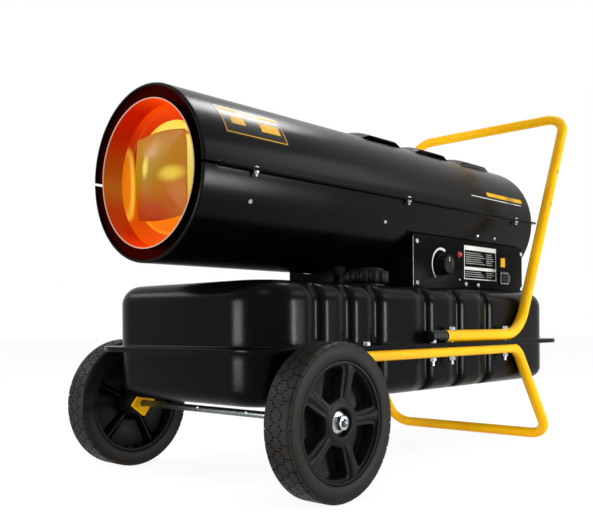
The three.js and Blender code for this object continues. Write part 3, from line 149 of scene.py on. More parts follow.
def colour(hex_value):
    """sRGB hex such as 'ffcc00' to linear RGBA."""
    channels = [int(hex_value[i : i + 2], 16) / 255 for i in (0, 2, 4)]
    linear = [c / 12.92 if c <= 0.04045 else ((c + 0.055) / 1.055) ** 2.4 for c in channels]
    return (*linear, 1.0)


def empty_tree(owner):
    """The cleared node tree of a material or a world."""
    owner.use_nodes = True
    owner.node_tree.nodes.clear()
    return owner.node_tree


def new_finish(name):
    """A material with its tree, its Principled shader and object coordinates in millimetres."""
    finish = bpy.data.materials.new(name)
    tree = empty_tree(finish)
    shader = put(tree, "ShaderNodeBsdfPrincipled")
    put(tree, "ShaderNodeOutputMaterial", {"Surface": shader})
    place = put(tree, "ShaderNodeTexCoord")
    scale = put(tree, "ShaderNodeMapping", {0: place.outputs["Object"], "Scale": (1000, 1000, 1000)})
    return finish, tree, shader, scale.outputs[0]


def from_tube_line(tree, place):
    """The split coordinates of a place, and its distance from the tube's middle line."""
    split = put(tree, "ShaderNodeSeparateXYZ", {0: place})
    up = put(tree, "ShaderNodeMath", {0: split.outputs["Z"], 1: tube_z}, operation="SUBTRACT")
    flat = put(tree, "ShaderNodeCombineXYZ", {0: split.outputs["Y"], 1: up})
    radius = put(tree, "ShaderNodeVectorMath", {0: flat}, operation="LENGTH")
    return split, radius.outputs["Value"]

# %% [markdown]
# ## Powder coat
# The shells are sheet steel with a gloss black powder coat. The melted powder is not as flat as
# lacquer: it has an orange peel of a few millimetres that makes reflections waver slightly.
# Powder coat is a polyester, so its IOR is near 1.5, but the dark binder at its surface mirrors
# little. Just behind the outlet the inside of the shells catches the flame, a faint dark red. The
# tank has the same black with a fine grain baked in it, which scatters: soft grey highlights full
# of small specks. The control box, its panel and the bracket have a satin version that hardly
# mirrors at all. The frame's yellow is a warm, plain colour with a soft, wide sheen.


# %% Black and yellow powder coats
RED_RISE = (2, 16)  # mm behind the outlet
RED_FADE = (60, 160)


def gloss_black_powder_coat():
    finish, tree, shader, place = new_finish("gloss_black_powder_coat")
    peel = put(tree, "ShaderNodeTexNoise", {0: place, "Scale": 0.35, "Detail": 2})
    bump = put(tree, "ShaderNodeBump", {"Strength": 0.05, "Distance": 0.0004, "Height": peel})
    haze = put(tree, "ShaderNodeTexNoise", {0: place, "Scale": 0.012, "Detail": 3})
    gloss = put(tree, "ShaderNodeMapRange", {0: haze, 3: 0.2, 4: 0.28})
    tone = put(tree, "ShaderNodeValToRGB", {0: haze}, stops=[(0.3, "020202"), (0.7, "050504")])
    # The red starts behind the curled edge, dies out towards the burner, and stays on the inside.
    split, radius = from_tube_line(tree, place)
    inner = put(tree, "ShaderNodeMath", {0: radius, 1: tube_radius - sheet / 2}, operation="LESS_THAN")
    deep = put(tree, "ShaderNodeMapRange",
               {0: split.outputs["X"], 1: outlet_x + RED_RISE[0], 2: outlet_x + RED_RISE[1]})
    shut = put(tree, "ShaderNodeMapRange", {0: split.outputs["X"], 1: outlet_x + RED_FADE[0],
                                            2: outlet_x + RED_FADE[1], 3: 1.0, 4: 0.0})
    band = put(tree, "ShaderNodeMath", {0: deep, 1: shut}, operation="MULTIPLY")
    level = put(tree, "ShaderNodeMath", {0: band, 1: inner}, operation="MULTIPLY")
    fill(shader, {"Base Color": tone, "Roughness": gloss, "Normal": bump, "IOR": 1.5,
                  "Specular IOR Level": 0.06, "Emission Color": colour("300400"),
                  "Emission Strength": level})
    return finish


def grained_black_powder_coat():
    finish, tree, shader, place = new_finish("grained_black_powder_coat")
    grain = put(tree, "ShaderNodeTexNoise", {0: place, "Scale": 0.8, "Detail": 4, "Roughness": 0.7})
    bump = put(tree, "ShaderNodeBump", {"Strength": 0.1, "Distance": 0.0006, "Height": grain})
    specks = put(tree, "ShaderNodeMapRange", {0: grain, 1: 0.3, 2: 0.7, 3: 0.16, 4: 0.28})
    tone = put(tree, "ShaderNodeValToRGB", {0: grain}, stops=[(0.35, "030303"), (0.7, "090807")])
    fill(shader, {"Base Color": tone, "Roughness": specks, "Normal": bump, "IOR": 1.5,
                  "Specular IOR Level": 0.042})
    return finish


def satin_black_powder_coat():
    finish, tree, shader, place = new_finish("satin_black_powder_coat")
    grain = put(tree, "ShaderNodeTexNoise", {0: place, "Scale": 1.2, "Detail": 3})
    bump = put(tree, "ShaderNodeBump", {"Strength": 0.2, "Distance": 0.0004, "Height": grain})
    tone = put(tree, "ShaderNodeValToRGB", {0: grain}, stops=[(0.3, "050504"), (0.7, "0a0908")])
    fill(shader, {"Base Color": tone, "Roughness": 0.3, "Normal": bump, "IOR": 1.5,
                  "Specular IOR Level": 0.012})
    return finish


def yellow_powder_coat():
    finish, tree, shader, place = new_finish("yellow_powder_coat")
    peel = put(tree, "ShaderNodeTexNoise", {0: place, "Scale": 0.4, "Detail": 2})
    bump = put(tree, "ShaderNodeBump", {"Strength": 0.06, "Distance": 0.0004, "Height": peel})
    cloud = put(tree, "ShaderNodeTexNoise", {0: place, "Scale": 0.02, "Detail": 2})
    tone = put(tree, "ShaderNodeValToRGB", {0: cloud}, stops=[(0.3, "f7b400"), (0.7, "fcc004")])
    fill(shader, {"Base Color": tone, "Roughness": 0.34, "Normal": bump, "IOR": 1.5,
                  "Specular IOR Level": 0.12})
    return finish


shell_coat = gloss_black_powder_coat()
tank_coat = grained_black_powder_coat()
panel_coat = satin_black_powder_coat()
frame_coat = yellow_powder_coat()
print("powder coats:", shell_coat.name, tank_coat.name, panel_coat.name, frame_coat.name)

# %% [markdown]
# ## Helpers that make meshes
# A piece is a skin between rings of points, turned from a profile, or swept along a line. Each
# new mesh has its doubles merged and its faces turned outwards, and only its real corners stay
# sharp.


# %% Meshes from points
def tidied(thing, crease=35):
    """Merges doubles, turns faces outwards and keeps edges sharper than the crease crisp."""
    skin = bmesh.new()
    skin.from_mesh(thing.data)
    bmesh.ops.remove_doubles(skin, verts=skin.verts, dist=1e-6)
    bmesh.ops.dissolve_degenerate(skin, edges=skin.edges, dist=1e-7)
    bmesh.ops.recalc_face_normals(skin, faces=skin.faces)
    skin.to_mesh(thing.data)
    skin.free()
    thing.data.shade_smooth()
    thing.data.set_sharp_from_angle(angle=math.radians(crease))
    return thing


def made(name, points, faces, crease=35):
    """A mesh object from points in millimetres."""
    mesh = bpy.data.meshes.new(name)
    mesh.from_pydata([Vector(point) * MM for point in points], [], faces)
    return tidied(in_scene(name, mesh), crease)


def skin_faces(rings, count, around=True, loop=False, caps=False):
    """Faces between rings of points, which are closed in themselves, in a loop, or capped."""
    faces = []
    for ring in range(rings if loop else rings - 1):
        low, high = ring * count, (ring + 1) % rings * count
        for i in range(count if around else count - 1):
            j = (i + 1) % count
            faces.append((low + i, low + j, high + j, high + i))
    if caps:
        faces.append(tuple(range(count)))
        faces.append(tuple(range((rings - 1) * count, rings * count)))
    return faces


def skinned(name, rings, loop=False, caps=False, crease=35):
    """A skin over closed rings of points."""
    points = [point for ring in rings for point in ring]
    return made(name, points, skin_faces(len(rings), len(rings[0]), loop=loop, caps=caps), crease)


def turned(name, axis, centre, profile, steps=64, crease=35):
    """A closed profile of (radius, place along the axis) turned about an axis through centre."""
    rings = []
    for step in range(steps):
        angle = math.tau * step / steps
        ring = []
        for radius, along in profile:
            u, v = radius * math.cos(angle), radius * math.sin(angle)
            local = {"x": (along, u, v), "y": (v, along, u), "z": (u, v, along)}[axis]
            base = {"x": (0, centre[1], centre[2]), "y": (centre[0], 0, centre[2])}
            ring.append(Vector(local) + Vector(base.get(axis, (centre[0], centre[1], 0))))
        rings.append(ring)
    return skinned(name, rings, loop=True, crease=crease)


def arc(centre, radius, start, end, steps=6):
    """Points on an arc, in degrees, as (across, along) pairs."""
    turn = [math.radians(start + (end - start) * step / steps) for step in range(steps + 1)]
    return [(centre[0] + radius * math.cos(a), centre[1] + radius * math.sin(a)) for a in turn]


# %% [markdown]
# Finished meshes are joined, cut, thickened and rounded. Blender's modifiers do that work, and
# `frozen` keeps their result as a plain mesh, because only a plain mesh can ride on a body.


# %% Joining, cutting and rounding
def frozen(thing):
    """Applies every modifier, so that the evaluated shape becomes a plain mesh."""
    bpy.context.view_layer.update()
    shape = bpy.data.meshes.new_from_object(
        thing.evaluated_get(bpy.context.evaluated_depsgraph_get())
    )
    thing.modifiers.clear()
    thing.data = shape
    return thing


def joined(name, *things):
    """One object from several, each of them already in place."""
    whole = bmesh.new()
    for thing in things:
        whole.from_mesh(thing.data)
    mesh = bpy.data.meshes.new(name)
    whole.to_mesh(mesh)
    whole.free()
    for thing in things:
        bpy.data.objects.remove(thing)
    return in_scene(name, mesh)


def moved(thing, place):
    """Moves the mesh, in millimetres, and leaves the object at the origin."""
    thing.data.transform(Matrix.Translation(Vector(place) * MM))
    return thing


def combined(thing, other, operation="DIFFERENCE", crease=35):
    """A boolean between two closed meshes. The other one is used up."""
    modifier = thing.modifiers.new("combine", "BOOLEAN")
    modifier.operation = operation
    modifier.object = other
    modifier.solver = "MANIFOLD"
    frozen(thing)
    bpy.data.objects.remove(other)
    thing.data.shade_smooth()
    thing.data.set_sharp_from_angle(angle=math.radians(crease))
    return thing


def thickened(thing, wall):
    """Gives a sheet its thickness, inwards from the face that is drawn."""
    modifier = thing.modifiers.new("sheet", "SOLIDIFY")
    modifier.thickness = wall * MM
    modifier.offset = -1
    return frozen(thing)


def drilled(thing, axis, centre, radius, start, end, steps=24):
    """Cuts a round hole along an axis through centre, between two places on that axis."""
    profile = [(0, start), (radius, start), (radius, end), (0, end)]
    return combined(thing, turned("drill", axis, centre, profile, steps))


def rounded(thing, width, steps=2):
    """Rounds the sharp edges, as a pressed or moulded edge is."""
    modifier = thing.modifiers.new("round", "BEVEL")
    modifier.width = width * MM
    modifier.segments = steps
    modifier.limit_method = "ANGLE"
    modifier.angle_limit = math.radians(40)
    modifier.harden_normals = True
    return frozen(thing)


def block(name, low, high):
    """A box between two corners, for joining, cutting and rounding."""
    (x0, y0, z0), (x1, y1, z1) = low, high
    points = [(x, y, z) for x in (x0, x1) for y in (y0, y1) for z in (z0, z1)]
    faces = [(0, 1, 3, 2), (4, 6, 7, 5), (0, 4, 5, 1), (2, 3, 7, 6), (0, 2, 6, 4), (1, 5, 7, 3)]
    return made(name, points, faces)


# %% [markdown]
# Last, a piece is dressed: it gets one material, the body that it rides on, and the imported nodes
# that it replaces.


# %% Dressing a piece
def dressed(thing, finish, body, slot, *nodes):
    """Gives a piece its material, its body and the nodes it stands for. slot is not used."""
    thing.data.materials.clear()
    thing.data.materials.append(finish)
    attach(thing, body)
    if nodes:
        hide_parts(*nodes)
    print(f"{thing.name}: {len(thing.data.polygons)} faces on {body}")
    return thing


# %% [markdown]
# ## The two shells
# Each half of the tube is rolled sheet. Its front edge is curled in, its long edges are folded
# out to a seam lip, and three louvres are pressed up in the top. All of that is one rule: a point
# has a place along the tube and a place on the section, so a grid of points is bent by functions
# of the two. Cells are left out where the sheet is slit, and Solidify gives the sheet its
# thickness.

# %% Shell section and length
CURL_RADIUS = 2.2
SEAM_LIP = 10
SEAM_FOLD = 2.5
SEAM_GAP = 0.15
SLIT_HALF = 1.8
SLIT_LENGTH = 24
LOUVRE_FIRST = 452
LOUVRE_PITCH = 152
LOUVRES = [outlet_x + LOUVRE_FIRST + LOUVRE_PITCH * i for i in range(3)]
LOUVRE_HALF = 60
LOUVRE_RISE = 7
LOUVRE_ANGLE = 25
LOUVRE_OPEN = 28


def shell_stations():
    """Places along the tube as (x, how far the sheet has curled in)."""
    curl = [(outlet_x + CURL_RADIUS * (1 - math.sin(a)), CURL_RADIUS * (1 - math.cos(a))) for a in
            [math.radians(15 * step) for step in range(6, -1, -1)]]
    start = [(outlet_x + 0.2, CURL_RADIUS + 1.6)] + curl
    steps = 290
    run = tube_rear - outlet_x - CURL_RADIUS - 0.01
    rest = [(outlet_x + CURL_RADIUS + run * step / steps, 0) for step in range(1, steps + 1)]
    return start + rest


def shell_section():
    """Angles round the half tube, in degrees above the seam, from one seam to the other."""
    low = math.degrees(math.asin(SLIT_HALF / tube_radius))
    fold = math.degrees(math.asin((SEAM_FOLD + SEAM_GAP + sheet) / tube_radius))
    inner = [fold + (180 - 2 * fold) * step / 88 for step in range(89)]
    return [low] + inner + [180 - low]


def louvre_lift(x, angle):
    """How far the sheet is pressed up: a smooth ramp at both ends, flat between them."""
    for centre in LOUVRES:
        reach = abs(x - centre) / LOUVRE_HALF
        if reach < 1 and abs(angle - 90) <= LOUVRE_ANGLE + 0.01:
            ramp_up = min(1, (1 - reach) / 0.45)
            return LOUVRE_RISE * ramp_up * ramp_up * (3 - 2 * ramp_up)
    return 0


def louvre_open(x, angle):
    """Whether a place lies in the slot beside a louvre."""
    off = abs(angle - 90)
    inside = any(abs(x - centre) < LOUVRE_HALF - 6 for centre in LOUVRES)
    return inside and LOUVRE_ANGLE < off < LOUVRE_OPEN


print("stations:", len(shell_stations()), "section:", len(shell_section()))


# %% [markdown]
# The seam lip starts behind the slit at the outlet. It is its own strip: the sheet comes down
# the tube, turns through a small fold and runs out flat. The strip and the grid share the sheet's
# outer face, so they are joined before the thickness is added.


# %% Both shells
def lip_line(fold_angle):
    """The seam lip's section from the wall outwards, as (half width, height above the seam)."""
    start_y = tube_radius * math.cos(fold_angle)
    start_z = tube_radius * math.sin(fold_angle)
    flat = SEAM_GAP + sheet
    bend = [(start_y + SEAM_FOLD * (1 - math.cos(a)), start_z - (start_z - flat) * math.sin(a))
            for a in [math.radians(18 * step) for step in range(6)]]
    return bend + [(tube_radius + SEAM_LIP, flat)]


def shell_half(name, direction):
    """One half of the tube: 1 is the upper one with its louvres, -1 the lower one."""
    stations = shell_stations()
    angles = shell_section()
    if direction > 0:
        edges = [90 - LOUVRE_OPEN, 90 - LOUVRE_ANGLE, 90 + LOUVRE_ANGLE, 90 + LOUVRE_OPEN]
        angles = sorted(set(angles + edges))
    rings = []
    for x, curl in stations:
        ring = []
        for angle in angles:
            lift = louvre_lift(x, angle) if direction > 0 else 0
            radius = tube_radius - curl + lift
            turn = math.radians(angle)
            ring.append((x, -radius * math.cos(turn), tube_z + direction * radius * math.sin(turn)))
        rings.append(ring)
    count = len(angles)
    faces = []
    for row, face in enumerate(skin_faces(len(rings), count, around=False)):
        station, column = divmod(row, count - 1)
        x = (stations[station][0] + stations[station + 1][0]) / 2
        angle = (angles[column] + angles[column + 1]) / 2
        behind_slit = x > outlet_x + SLIT_LENGTH and column in (0, count - 2)
        if not (direction > 0 and louvre_open(x, angle)) and not behind_slit:
            faces.append(face)
    points = [point for ring in rings for point in ring]
    line = lip_line(math.radians(angles[1]))
    rows = [x for x, curl in stations if x > outlet_x + SLIT_LENGTH - 1.5]
    strip = skin_faces(len(rows), len(line), around=False)
    for side in (-1, 1):
        base = len(points)
        for x in rows:
            points += [(x, side * y, tube_z + direction * z) for y, z in line]
        faces += [tuple(base + i for i in face) for face in strip]
    shell = made(name, points, faces, crease=50)
    top = max(shell.data.polygons, key=lambda face: face.center.z * direction)
    if top.normal.z * direction < 0:
        shell.data.flip_normals()
    thickened(shell, sheet)
    shell.data.shade_smooth()
    shell.data.set_sharp_from_angle(angle=math.radians(50))
    return shell


dressed(shell_half("top_shell", 1), shell_coat, "base", "shell_paint", "upper_shell")
dressed(shell_half("under_shell", -1), shell_coat, "base", "shell_paint", "lower_shell")

# %% [markdown]
# ## The glowing outlet
# The liner is a thin steel sleeve. Inside it lies the combustion chamber, and a ring at its mouth
# reaches out to the liner. A square plate with a domed middle hangs in front of the mouth and
# spreads the flame. The burner lights all of it, so the steel looks like hot gold and red. The
# glow belongs to the place, not to the view: it is emission that changes with height and width,
# that stays on the inner face of the sleeve, and that dies out towards the burner.


# %% Hot steel
WAVE = 22.0  # mm that the bands of colour wander up and down
GLOW_FADE = (90, 300)  # mm behind the outlet


def glowing_steel(name, stops, half_height, strength, blush=None, spots=(), within=None):
    """Oxidised steel lit by flame: a dark mirror under a soft glow that hides its own shading.

    Stops run from the bottom to the top. blush is (hex, y from, y to), spots are (hex, middle,
    size), and within is the radius outside of which nothing glows.
    """
    finish, tree, shader, place = new_finish(name)
    split, radius = from_tube_line(tree, place)
    wave = put(tree, "ShaderNodeTexNoise", {0: place, "Scale": 0.02, "Detail": 3})
    shift = put(tree, "ShaderNodeMath", {0: wave, 1: WAVE, 2: split.outputs["Z"]},
                operation="MULTIPLY_ADD")
    low, high = tube_z - half_height + WAVE / 2, tube_z + half_height + WAVE / 2
    run = put(tree, "ShaderNodeMapRange", {0: shift, 1: low, 2: high})
    tone = put(tree, "ShaderNodeValToRGB", {0: run}, stops=stops)
    if blush:
        hex_value, y_from, y_to = blush
        side = put(tree, "ShaderNodeMapRange", {0: split.outputs["Y"], 1: y_from, 2: y_to})
        mixed = put(tree, "ShaderNodeMix", {0: side, 6: tone, 7: colour(hex_value)}, data_type="RGBA")
        tone = mixed.outputs[2]
    for hex_value, middle_point, size in spots:
        inverse = tuple(1 / reach for reach in size)
        offset = tuple(-value / reach for value, reach in zip(middle_point, size))
        local = put(tree, "ShaderNodeMapping", {0: place, "Location": offset, "Scale": inverse})
        ball = put(tree, "ShaderNodeTexGradient", {0: local}, gradient_type="SPHERICAL")
        soft = put(tree, "ShaderNodeMapRange", {0: ball.outputs["Fac"], 2: 0.8},
                   interpolation_type="SMOOTHSTEP")
        mixed = put(tree, "ShaderNodeMix", {0: soft, 6: tone, 7: colour(hex_value)}, data_type="RGBA")
        tone = mixed.outputs[2]
    fade = put(tree, "ShaderNodeMapRange", {0: split.outputs["X"], 1: outlet_x + GLOW_FADE[0],
                                            2: outlet_x + GLOW_FADE[1], 3: strength, 4: 0.0})
    level = fade
    if within:
        inner = put(tree, "ShaderNodeMath", {0: radius, 1: within}, operation="LESS_THAN")
        level = put(tree, "ShaderNodeMath", {0: inner, 1: fade}, operation="MULTIPLY")
    brushed = put(tree, "ShaderNodeTexNoise", {0: place, "Scale": 0.6, "Detail": 3})
    rough = put(tree, "ShaderNodeMapRange", {0: brushed, 3: 0.26, 4: 0.4})
    scale = put(tree, "ShaderNodeValToRGB", {0: brushed}, stops=[(0.3, "120b06"), (0.7, "1a110a")])
    fill(shader, {"Base Color": scale, "Metallic": 1.0, "Roughness": rough, "Emission Color": tone,
                  "Emission Strength": level})
    return finish


# %% [markdown]
# Every piece of the outlet has its own stops, read from the photograph from the bottom of the
# piece to its top.

# %% Outlet sizes and glows
liner_radius = 98
liner_sheet = 1.2
liner_rear = span("heat_shield")[1].x
chamber_front = outlet_x + 38
chamber_rear = span("combustion_chamber")[1].x
chamber_radius = 80
mouth_radius = 73
tube_line = (0, 0, tube_z)

# Deep red above and below, dull orange at half height, plain bright orange on the near side.
liner_glow = glowing_steel(
    "flame_lit_liner_steel",
    [(0.0, "e82c00"), (0.14, "b81e02"), (0.3, "ac3408"), (0.47, "a85416"), (0.62, "a0400a"),
     (0.8, "ae1c02"), (1.0, "c81000")],
    liner_radius, 0.95, blush=("ff5000", 35, -50), within=liner_radius - liner_sheet / 2)
# Orange below and pale yellow above: the hottest place that can be seen.
chamber_glow = glowing_steel(
    "flame_lit_chamber_steel",
    [(0.0, "ff5a00"), (0.22, "ff7a0c"), (0.4, "ffb22c"), (0.6, "ffe468"), (0.9, "ffee7c"),
     (1.0, "ffd84c")],
    78, 1.0, within=chamber_radius - liner_sheet / 2)
# Orange red, with a gold crescent on its far side.
ring_glow = glowing_steel(
    "flame_lit_mouth_ring_steel",
    [(0.0, "ff5400"), (0.2, "e04c00"), (0.42, "d86a04"), (0.58, "c05208"), (0.72, "a02a04"),
     (0.86, "d02c00"), (1.0, "ff4800")],
    92, 0.95,
    spots=[("ec7c08", (chamber_front, 91, tube_z - 8), (60, 12, 95)),
           ("ffbc3c", (chamber_front, 84, tube_z - 4), (60, 6.5, 84))])
# A thin gold line round the mouth.
lip_glow = glowing_steel(
    "flame_lit_mouth_lip_steel",
    [(0.0, "ff8414"), (0.3, "ffa820"), (0.5, "ffc83c"), (0.7, "f08a18"), (0.85, "ffb428"),
     (1.0, "ffe050")],
    76, 1.0)
# Old gold, redder below and browner on the near side, with two pale yellow painted highlights where the
# dome mirrors the light.
baffle_glow = glowing_steel(
    "flame_lit_baffle_steel",
    [(0.0, "b8300c"), (0.2, "b8480c"), (0.38, "b87008"), (0.52, "b08408"), (0.7, "b88a18"),
     (0.88, "c88a30"), (1.0, "c47a30")],
    62, 0.9, blush=("c0702a", 0, -75),
    spots=[("f8e060", (outlet_x + 14, 20, tube_z + 13), (40, 11, 20)),
           ("f0cc48", (outlet_x + 16, -32, tube_z - 1), (40, 30, 14))])
# A painted highlight: the cut edge of the liner glows as a thin, pale, slightly warm line.
painted_edge_highlight = glowing_steel(
    "painted_highlight_liner_edge", [(0.0, "e8c8b0"), (0.5, "d8b090"), (1.0, "ffc0a8")], liner_radius, 0.75)
print("hot from", round(outlet_x), "to", round(liner_rear), "mm")

# %% [markdown]
# The liner's front edge is bare steel; here it glows as a painted highlight, a thin light line. The mouth
# ring is dished, with a rolled lip round the mouth. All of them are round, so each is one turned profile.


# %% Liner, chamber and mouth ring
def liner():
    inside = liner_radius - liner_sheet
    front = outlet_x + 1.5
    profile = [(inside, liner_rear), (liner_radius, liner_rear), (liner_radius, front),
               (inside, front)]
    return turned("liner", "x", tube_line, profile, 128)


def liner_edge():
    bead = arc((liner_radius - liner_sheet / 2, outlet_x + 1.2), 0.75, 0, 324, 9)
    return turned("liner_edge", "x", tube_line, bead, 160)


def chamber():
    inside = chamber_radius - liner_sheet
    front = chamber_front + 12
    profile = [(inside, chamber_rear), (chamber_radius, chamber_rear), (chamber_radius, front),
               (inside, front)]
    return turned("chamber", "x", tube_line, profile, 128)


def mouth_ring():
    reach = liner_radius - liner_sheet - 0.3
    dish = arc((reach - 9, chamber_front - 6), 9, 0, 90, 8)
    front = dish + [(mouth_radius + 8, chamber_front + 4.5), (mouth_radius + 4, chamber_front + 5)]
    back = [(along_radius, along + 1.2) for along_radius, along in reversed(front)]
    return turned("mouth_ring", "x", tube_line, front + back, 128, crease=50)


def mouth_lip():
    roll = arc((mouth_radius + 2.4, chamber_front + 4.2), 2.4, 30, 270, 10)
    tail = [(mouth_radius + 1, chamber_front + 6.2), (chamber_radius - 1.5, chamber_front + 13),
            (chamber_radius - 0.6, chamber_front + 12)]
    return turned("mouth_lip", "x", tube_line, roll + tail, 128, 50)


dressed(liner(), liner_glow, "base", "hot_steel", "heat_shield")
# The edge bead carries a painted highlight: its emission stands for the glint on the cut edge.
dressed(liner_edge(), painted_edge_highlight, "base", "hot_steel")
dressed(chamber(), chamber_glow, "base", "hot_steel", "combustion_chamber")
dressed(mouth_ring(), ring_glow, "base", "hot_steel")
dressed(mouth_lip(), lip_glow, "base", "hot_steel")

# %% [markdown]
# The plate is a grid: near its corners it is a pyramid with creases along the diagonals, and
# towards the middle the creases fade to a dome. Its edges bow out, so that arched gaps stay open
# between the plate and the mouth.


# %% Flame plate
def flame_plate():
    half_y, half_z, dome, bow, steps = 51.0, 54.5, 13.0, 0.085, 48
    front = span("flame_baffle")[0].x + 0.3
    points = []
    for i in range(steps + 1):
        for j in range(steps + 1):
            u, v = 2 * i / steps - 1, 2 * j / steps - 1
            radius = min(1.0, math.hypot(u, v) / math.sqrt(2))
            square = max(abs(u), abs(v))
            crisp = min(1.0, max(0.0, (radius - 0.3) / 0.5))
            smooth = (0.25 * radius + radius * radius) / 1.25
            depth = dome * ((1 - crisp) * smooth + crisp * square ** 1.15)
            y = u * half_y * (1 + bow * (1 - v * v) * abs(u))
            z = tube_z + v * half_z * (1 + bow * (1 - u * u) * abs(v))
            points.append((front + depth, y, z))
    row = steps + 1
    faces = []
    for i in range(steps):
        for j in range(steps):
            a, b, c, d = i * row + j, (i + 1) * row + j, (i + 1) * row + j + 1, i * row + j + 1
            rising = (i < steps / 2) == (j < steps / 2)
            faces += [(a, b, c), (a, c, d)] if rising else [(a, b, d), (b, c, d)]
    plate = made("flame_plate", points, faces, crease=60)
    if plate.data.polygons[steps * steps].normal.x > 0:
        plate.data.flip_normals()
    thickened(plate, liner_sheet)
    legs = []
    for side_y in (-1, 1):
        for side_z in (-1, 1):
            lean = math.atan2(side_z * half_z, side_y * half_y)
            reach = math.hypot(half_y, half_z)
            leg = block("leg", (front + dome - 0.5, reach - 5, -4), (chamber_front + 4, reach - 3.8, 4))
            leg.data.transform(Matrix.Rotation(lean, 4, "X"))
            legs.append(moved(leg, tube_line))
    return joined("flame_plate", plate, *legs)


dressed(flame_plate(), baffle_glow, "base", "hot_steel", "flame_baffle")

# %% [markdown]
# ## Tank
# The tank is two deep-drawn halves that meet in a wide flange. Each long wall has six upright
# channels that stiffen it, and they run out in the rounded shoulder. One outline rule gives
# every ring of the skin: four corner arcs and two straight sides that dip at each channel. The
# upper flange has a lip turned down over the lower one.

# %% Tank outline
tank_low, tank_high = span("tank_lower", "tank_upper")
tank_x = middle("tank_upper").x
TANK_LENGTH = 795
TANK_WIDTH = 330
TANK_CORNER = 62
CHANNEL_WIDTH = 20
CHANNEL_DEPTH = 4
CHANNEL_SLOPE = 2.4
FLANGE_SIDE = span("tank_upper")[1].y - TANK_WIDTH / 2
FLANGE_END = 16
FRONT_CHANNELS = (102, 64)  # the first one's place behind the tank's front, and their pitch
REAR_CHANNELS = (357, 92)
PAN_RISE = 5.5  # the drawn pan ends this far above the lowest point of its node
tank_front = tank_x - TANK_LENGTH / 2
channels = [tank_front + start + pitch * i for start, pitch in (FRONT_CHANNELS, REAR_CHANNELS)
            for i in range(3)]
seam_z = span("tank_lower")[1].z + 0.15
print("tank front", round(tank_front, 1), "seam", round(seam_z, 1))
print("channels at", [round(x) for x in channels])


def side_places(half_length):
    """Places along a long side, close together where a channel bends the wall."""
    near = [-10, -9.4, -8.8, -8.2, -7.6, 0, 7.6, 8.2, 8.8, 9.4, 10]
    ends = [tank_x - half_length, tank_x + half_length]
    places = [channel + offset for channel in channels for offset in near]
    gaps = [ends[0]] + places + [ends[1]]
    plain = []
    for start, end in zip(gaps, gaps[1:]):
        parts = int(abs(end - start) // 22)
        plain += [start + (end - start) * part / (parts + 1) for part in range(1, parts + 1)]
    return sorted(places + plain)


SIDE_PLACES = side_places(TANK_LENGTH / 2 - TANK_CORNER)


def channel_dip(x, depth):
    """How far the wall is pressed in at a place along the side."""
    off = min(abs(x - channel) for channel in channels)
    share = min(1, max(0, (CHANNEL_WIDTH / 2 - off) / CHANNEL_SLOPE))
    return depth * share * share * (3 - 2 * share)


def tank_ring(inset, z, depth=0.0, end_inset=None, corner=None):
    """One ring round the tank, pulled in by an inset, with the channels pressed in by a depth."""
    half_length = TANK_LENGTH / 2 - (inset if end_inset is None else end_inset)
    half_width = TANK_WIDTH / 2 - inset
    radius = max(1, TANK_CORNER - inset if corner is None else corner)
    ring = []
    for side_x, side_y, start in ((-1, -1, 180), (1, -1, 270), (1, 1, 0), (-1, 1, 90)):
        centre = (tank_x + side_x * (half_length - radius), side_y * (half_width - radius))
        ring += [(x, y, z) for x, y in arc(centre, radius, start, start + 90, 14)]
        if side_x * side_y > 0:
            order = SIDE_PLACES if side_y < 0 else SIDE_PLACES[::-1]
            ring += [(x, side_y * (half_width - channel_dip(x, depth)), z) for x in order]
    return ring


# %% [markdown]
# From the flange inwards a half is one run of rings: the flange's edge, a small fillet, the wall
# and the rounded shoulder. The lower half has a softer belly edge, as a deep-drawn pan has.


# %% Both tank halves
def tank_half(name, direction, end_z, round_width, round_height, lip):
    """A half from the seam to end_z. lip is how far its flange is turned down over the other."""
    face = seam_z + direction * 0.15
    outside = face + direction * sheet

    def flange(inset, z):
        return tank_ring(inset - FLANGE_SIDE, z, end_inset=inset - FLANGE_END, corner=60 - inset)

    rings = [flange(sheet + 0.5, face)]
    if lip:
        rings += [flange(sheet, face - lip + 0.4), flange(sheet - 0.4, face - lip)]
        rings += [flange(0.4, face - lip), flange(0, face - lip + 0.5)]
    else:
        rings += [flange(sheet + 0.4, face), flange(sheet + 0.3, outside - direction * 0.4)]
    edge = 1.4 if lip else 0.3
    base = 0 if lip else sheet + 0.3
    for step in range(5):
        turn = math.radians(22.5 * step)
        inset = base + edge * (1 - math.cos(turn))
        rings.append(flange(inset, outside - direction * edge * (1 - math.sin(turn))))
    fillet = 3.5
    for step in range(5):
        turn = math.radians(22.5 * step)
        out = fillet * (1 - math.sin(turn))
        z = outside + direction * fillet * (1 - math.cos(turn))
        rings.append(tank_ring(-out, z, CHANNEL_DEPTH * step / 4))
    wall = end_z - direction * round_height
    for step in range(1, 5):
        z = outside + direction * fillet + (wall - outside - direction * fillet) * step / 5
        rings.append(tank_ring(0, z, CHANNEL_DEPTH))
    for step in range(16):
        turn = math.radians(6 * step)
        inset = round_width * (1 - math.cos(turn))
        depth = CHANNEL_DEPTH * min(1, 1.45 * math.cos(turn))
        rings.append(tank_ring(inset, wall + direction * round_height * math.sin(turn), depth))
    return skinned(name, rings, caps=True, crease=50)


top = tank_half("tank_top", 1, tank_high.z, 28, 28, 6)
pan = tank_half("tank_pan", -1, tank_low.z + PAN_RISE, 26, 22, 0)
dressed(top, tank_coat, "base", "tank_paint", "tank_upper")
dressed(pan, tank_coat, "base", "tank_paint", "tank_lower")

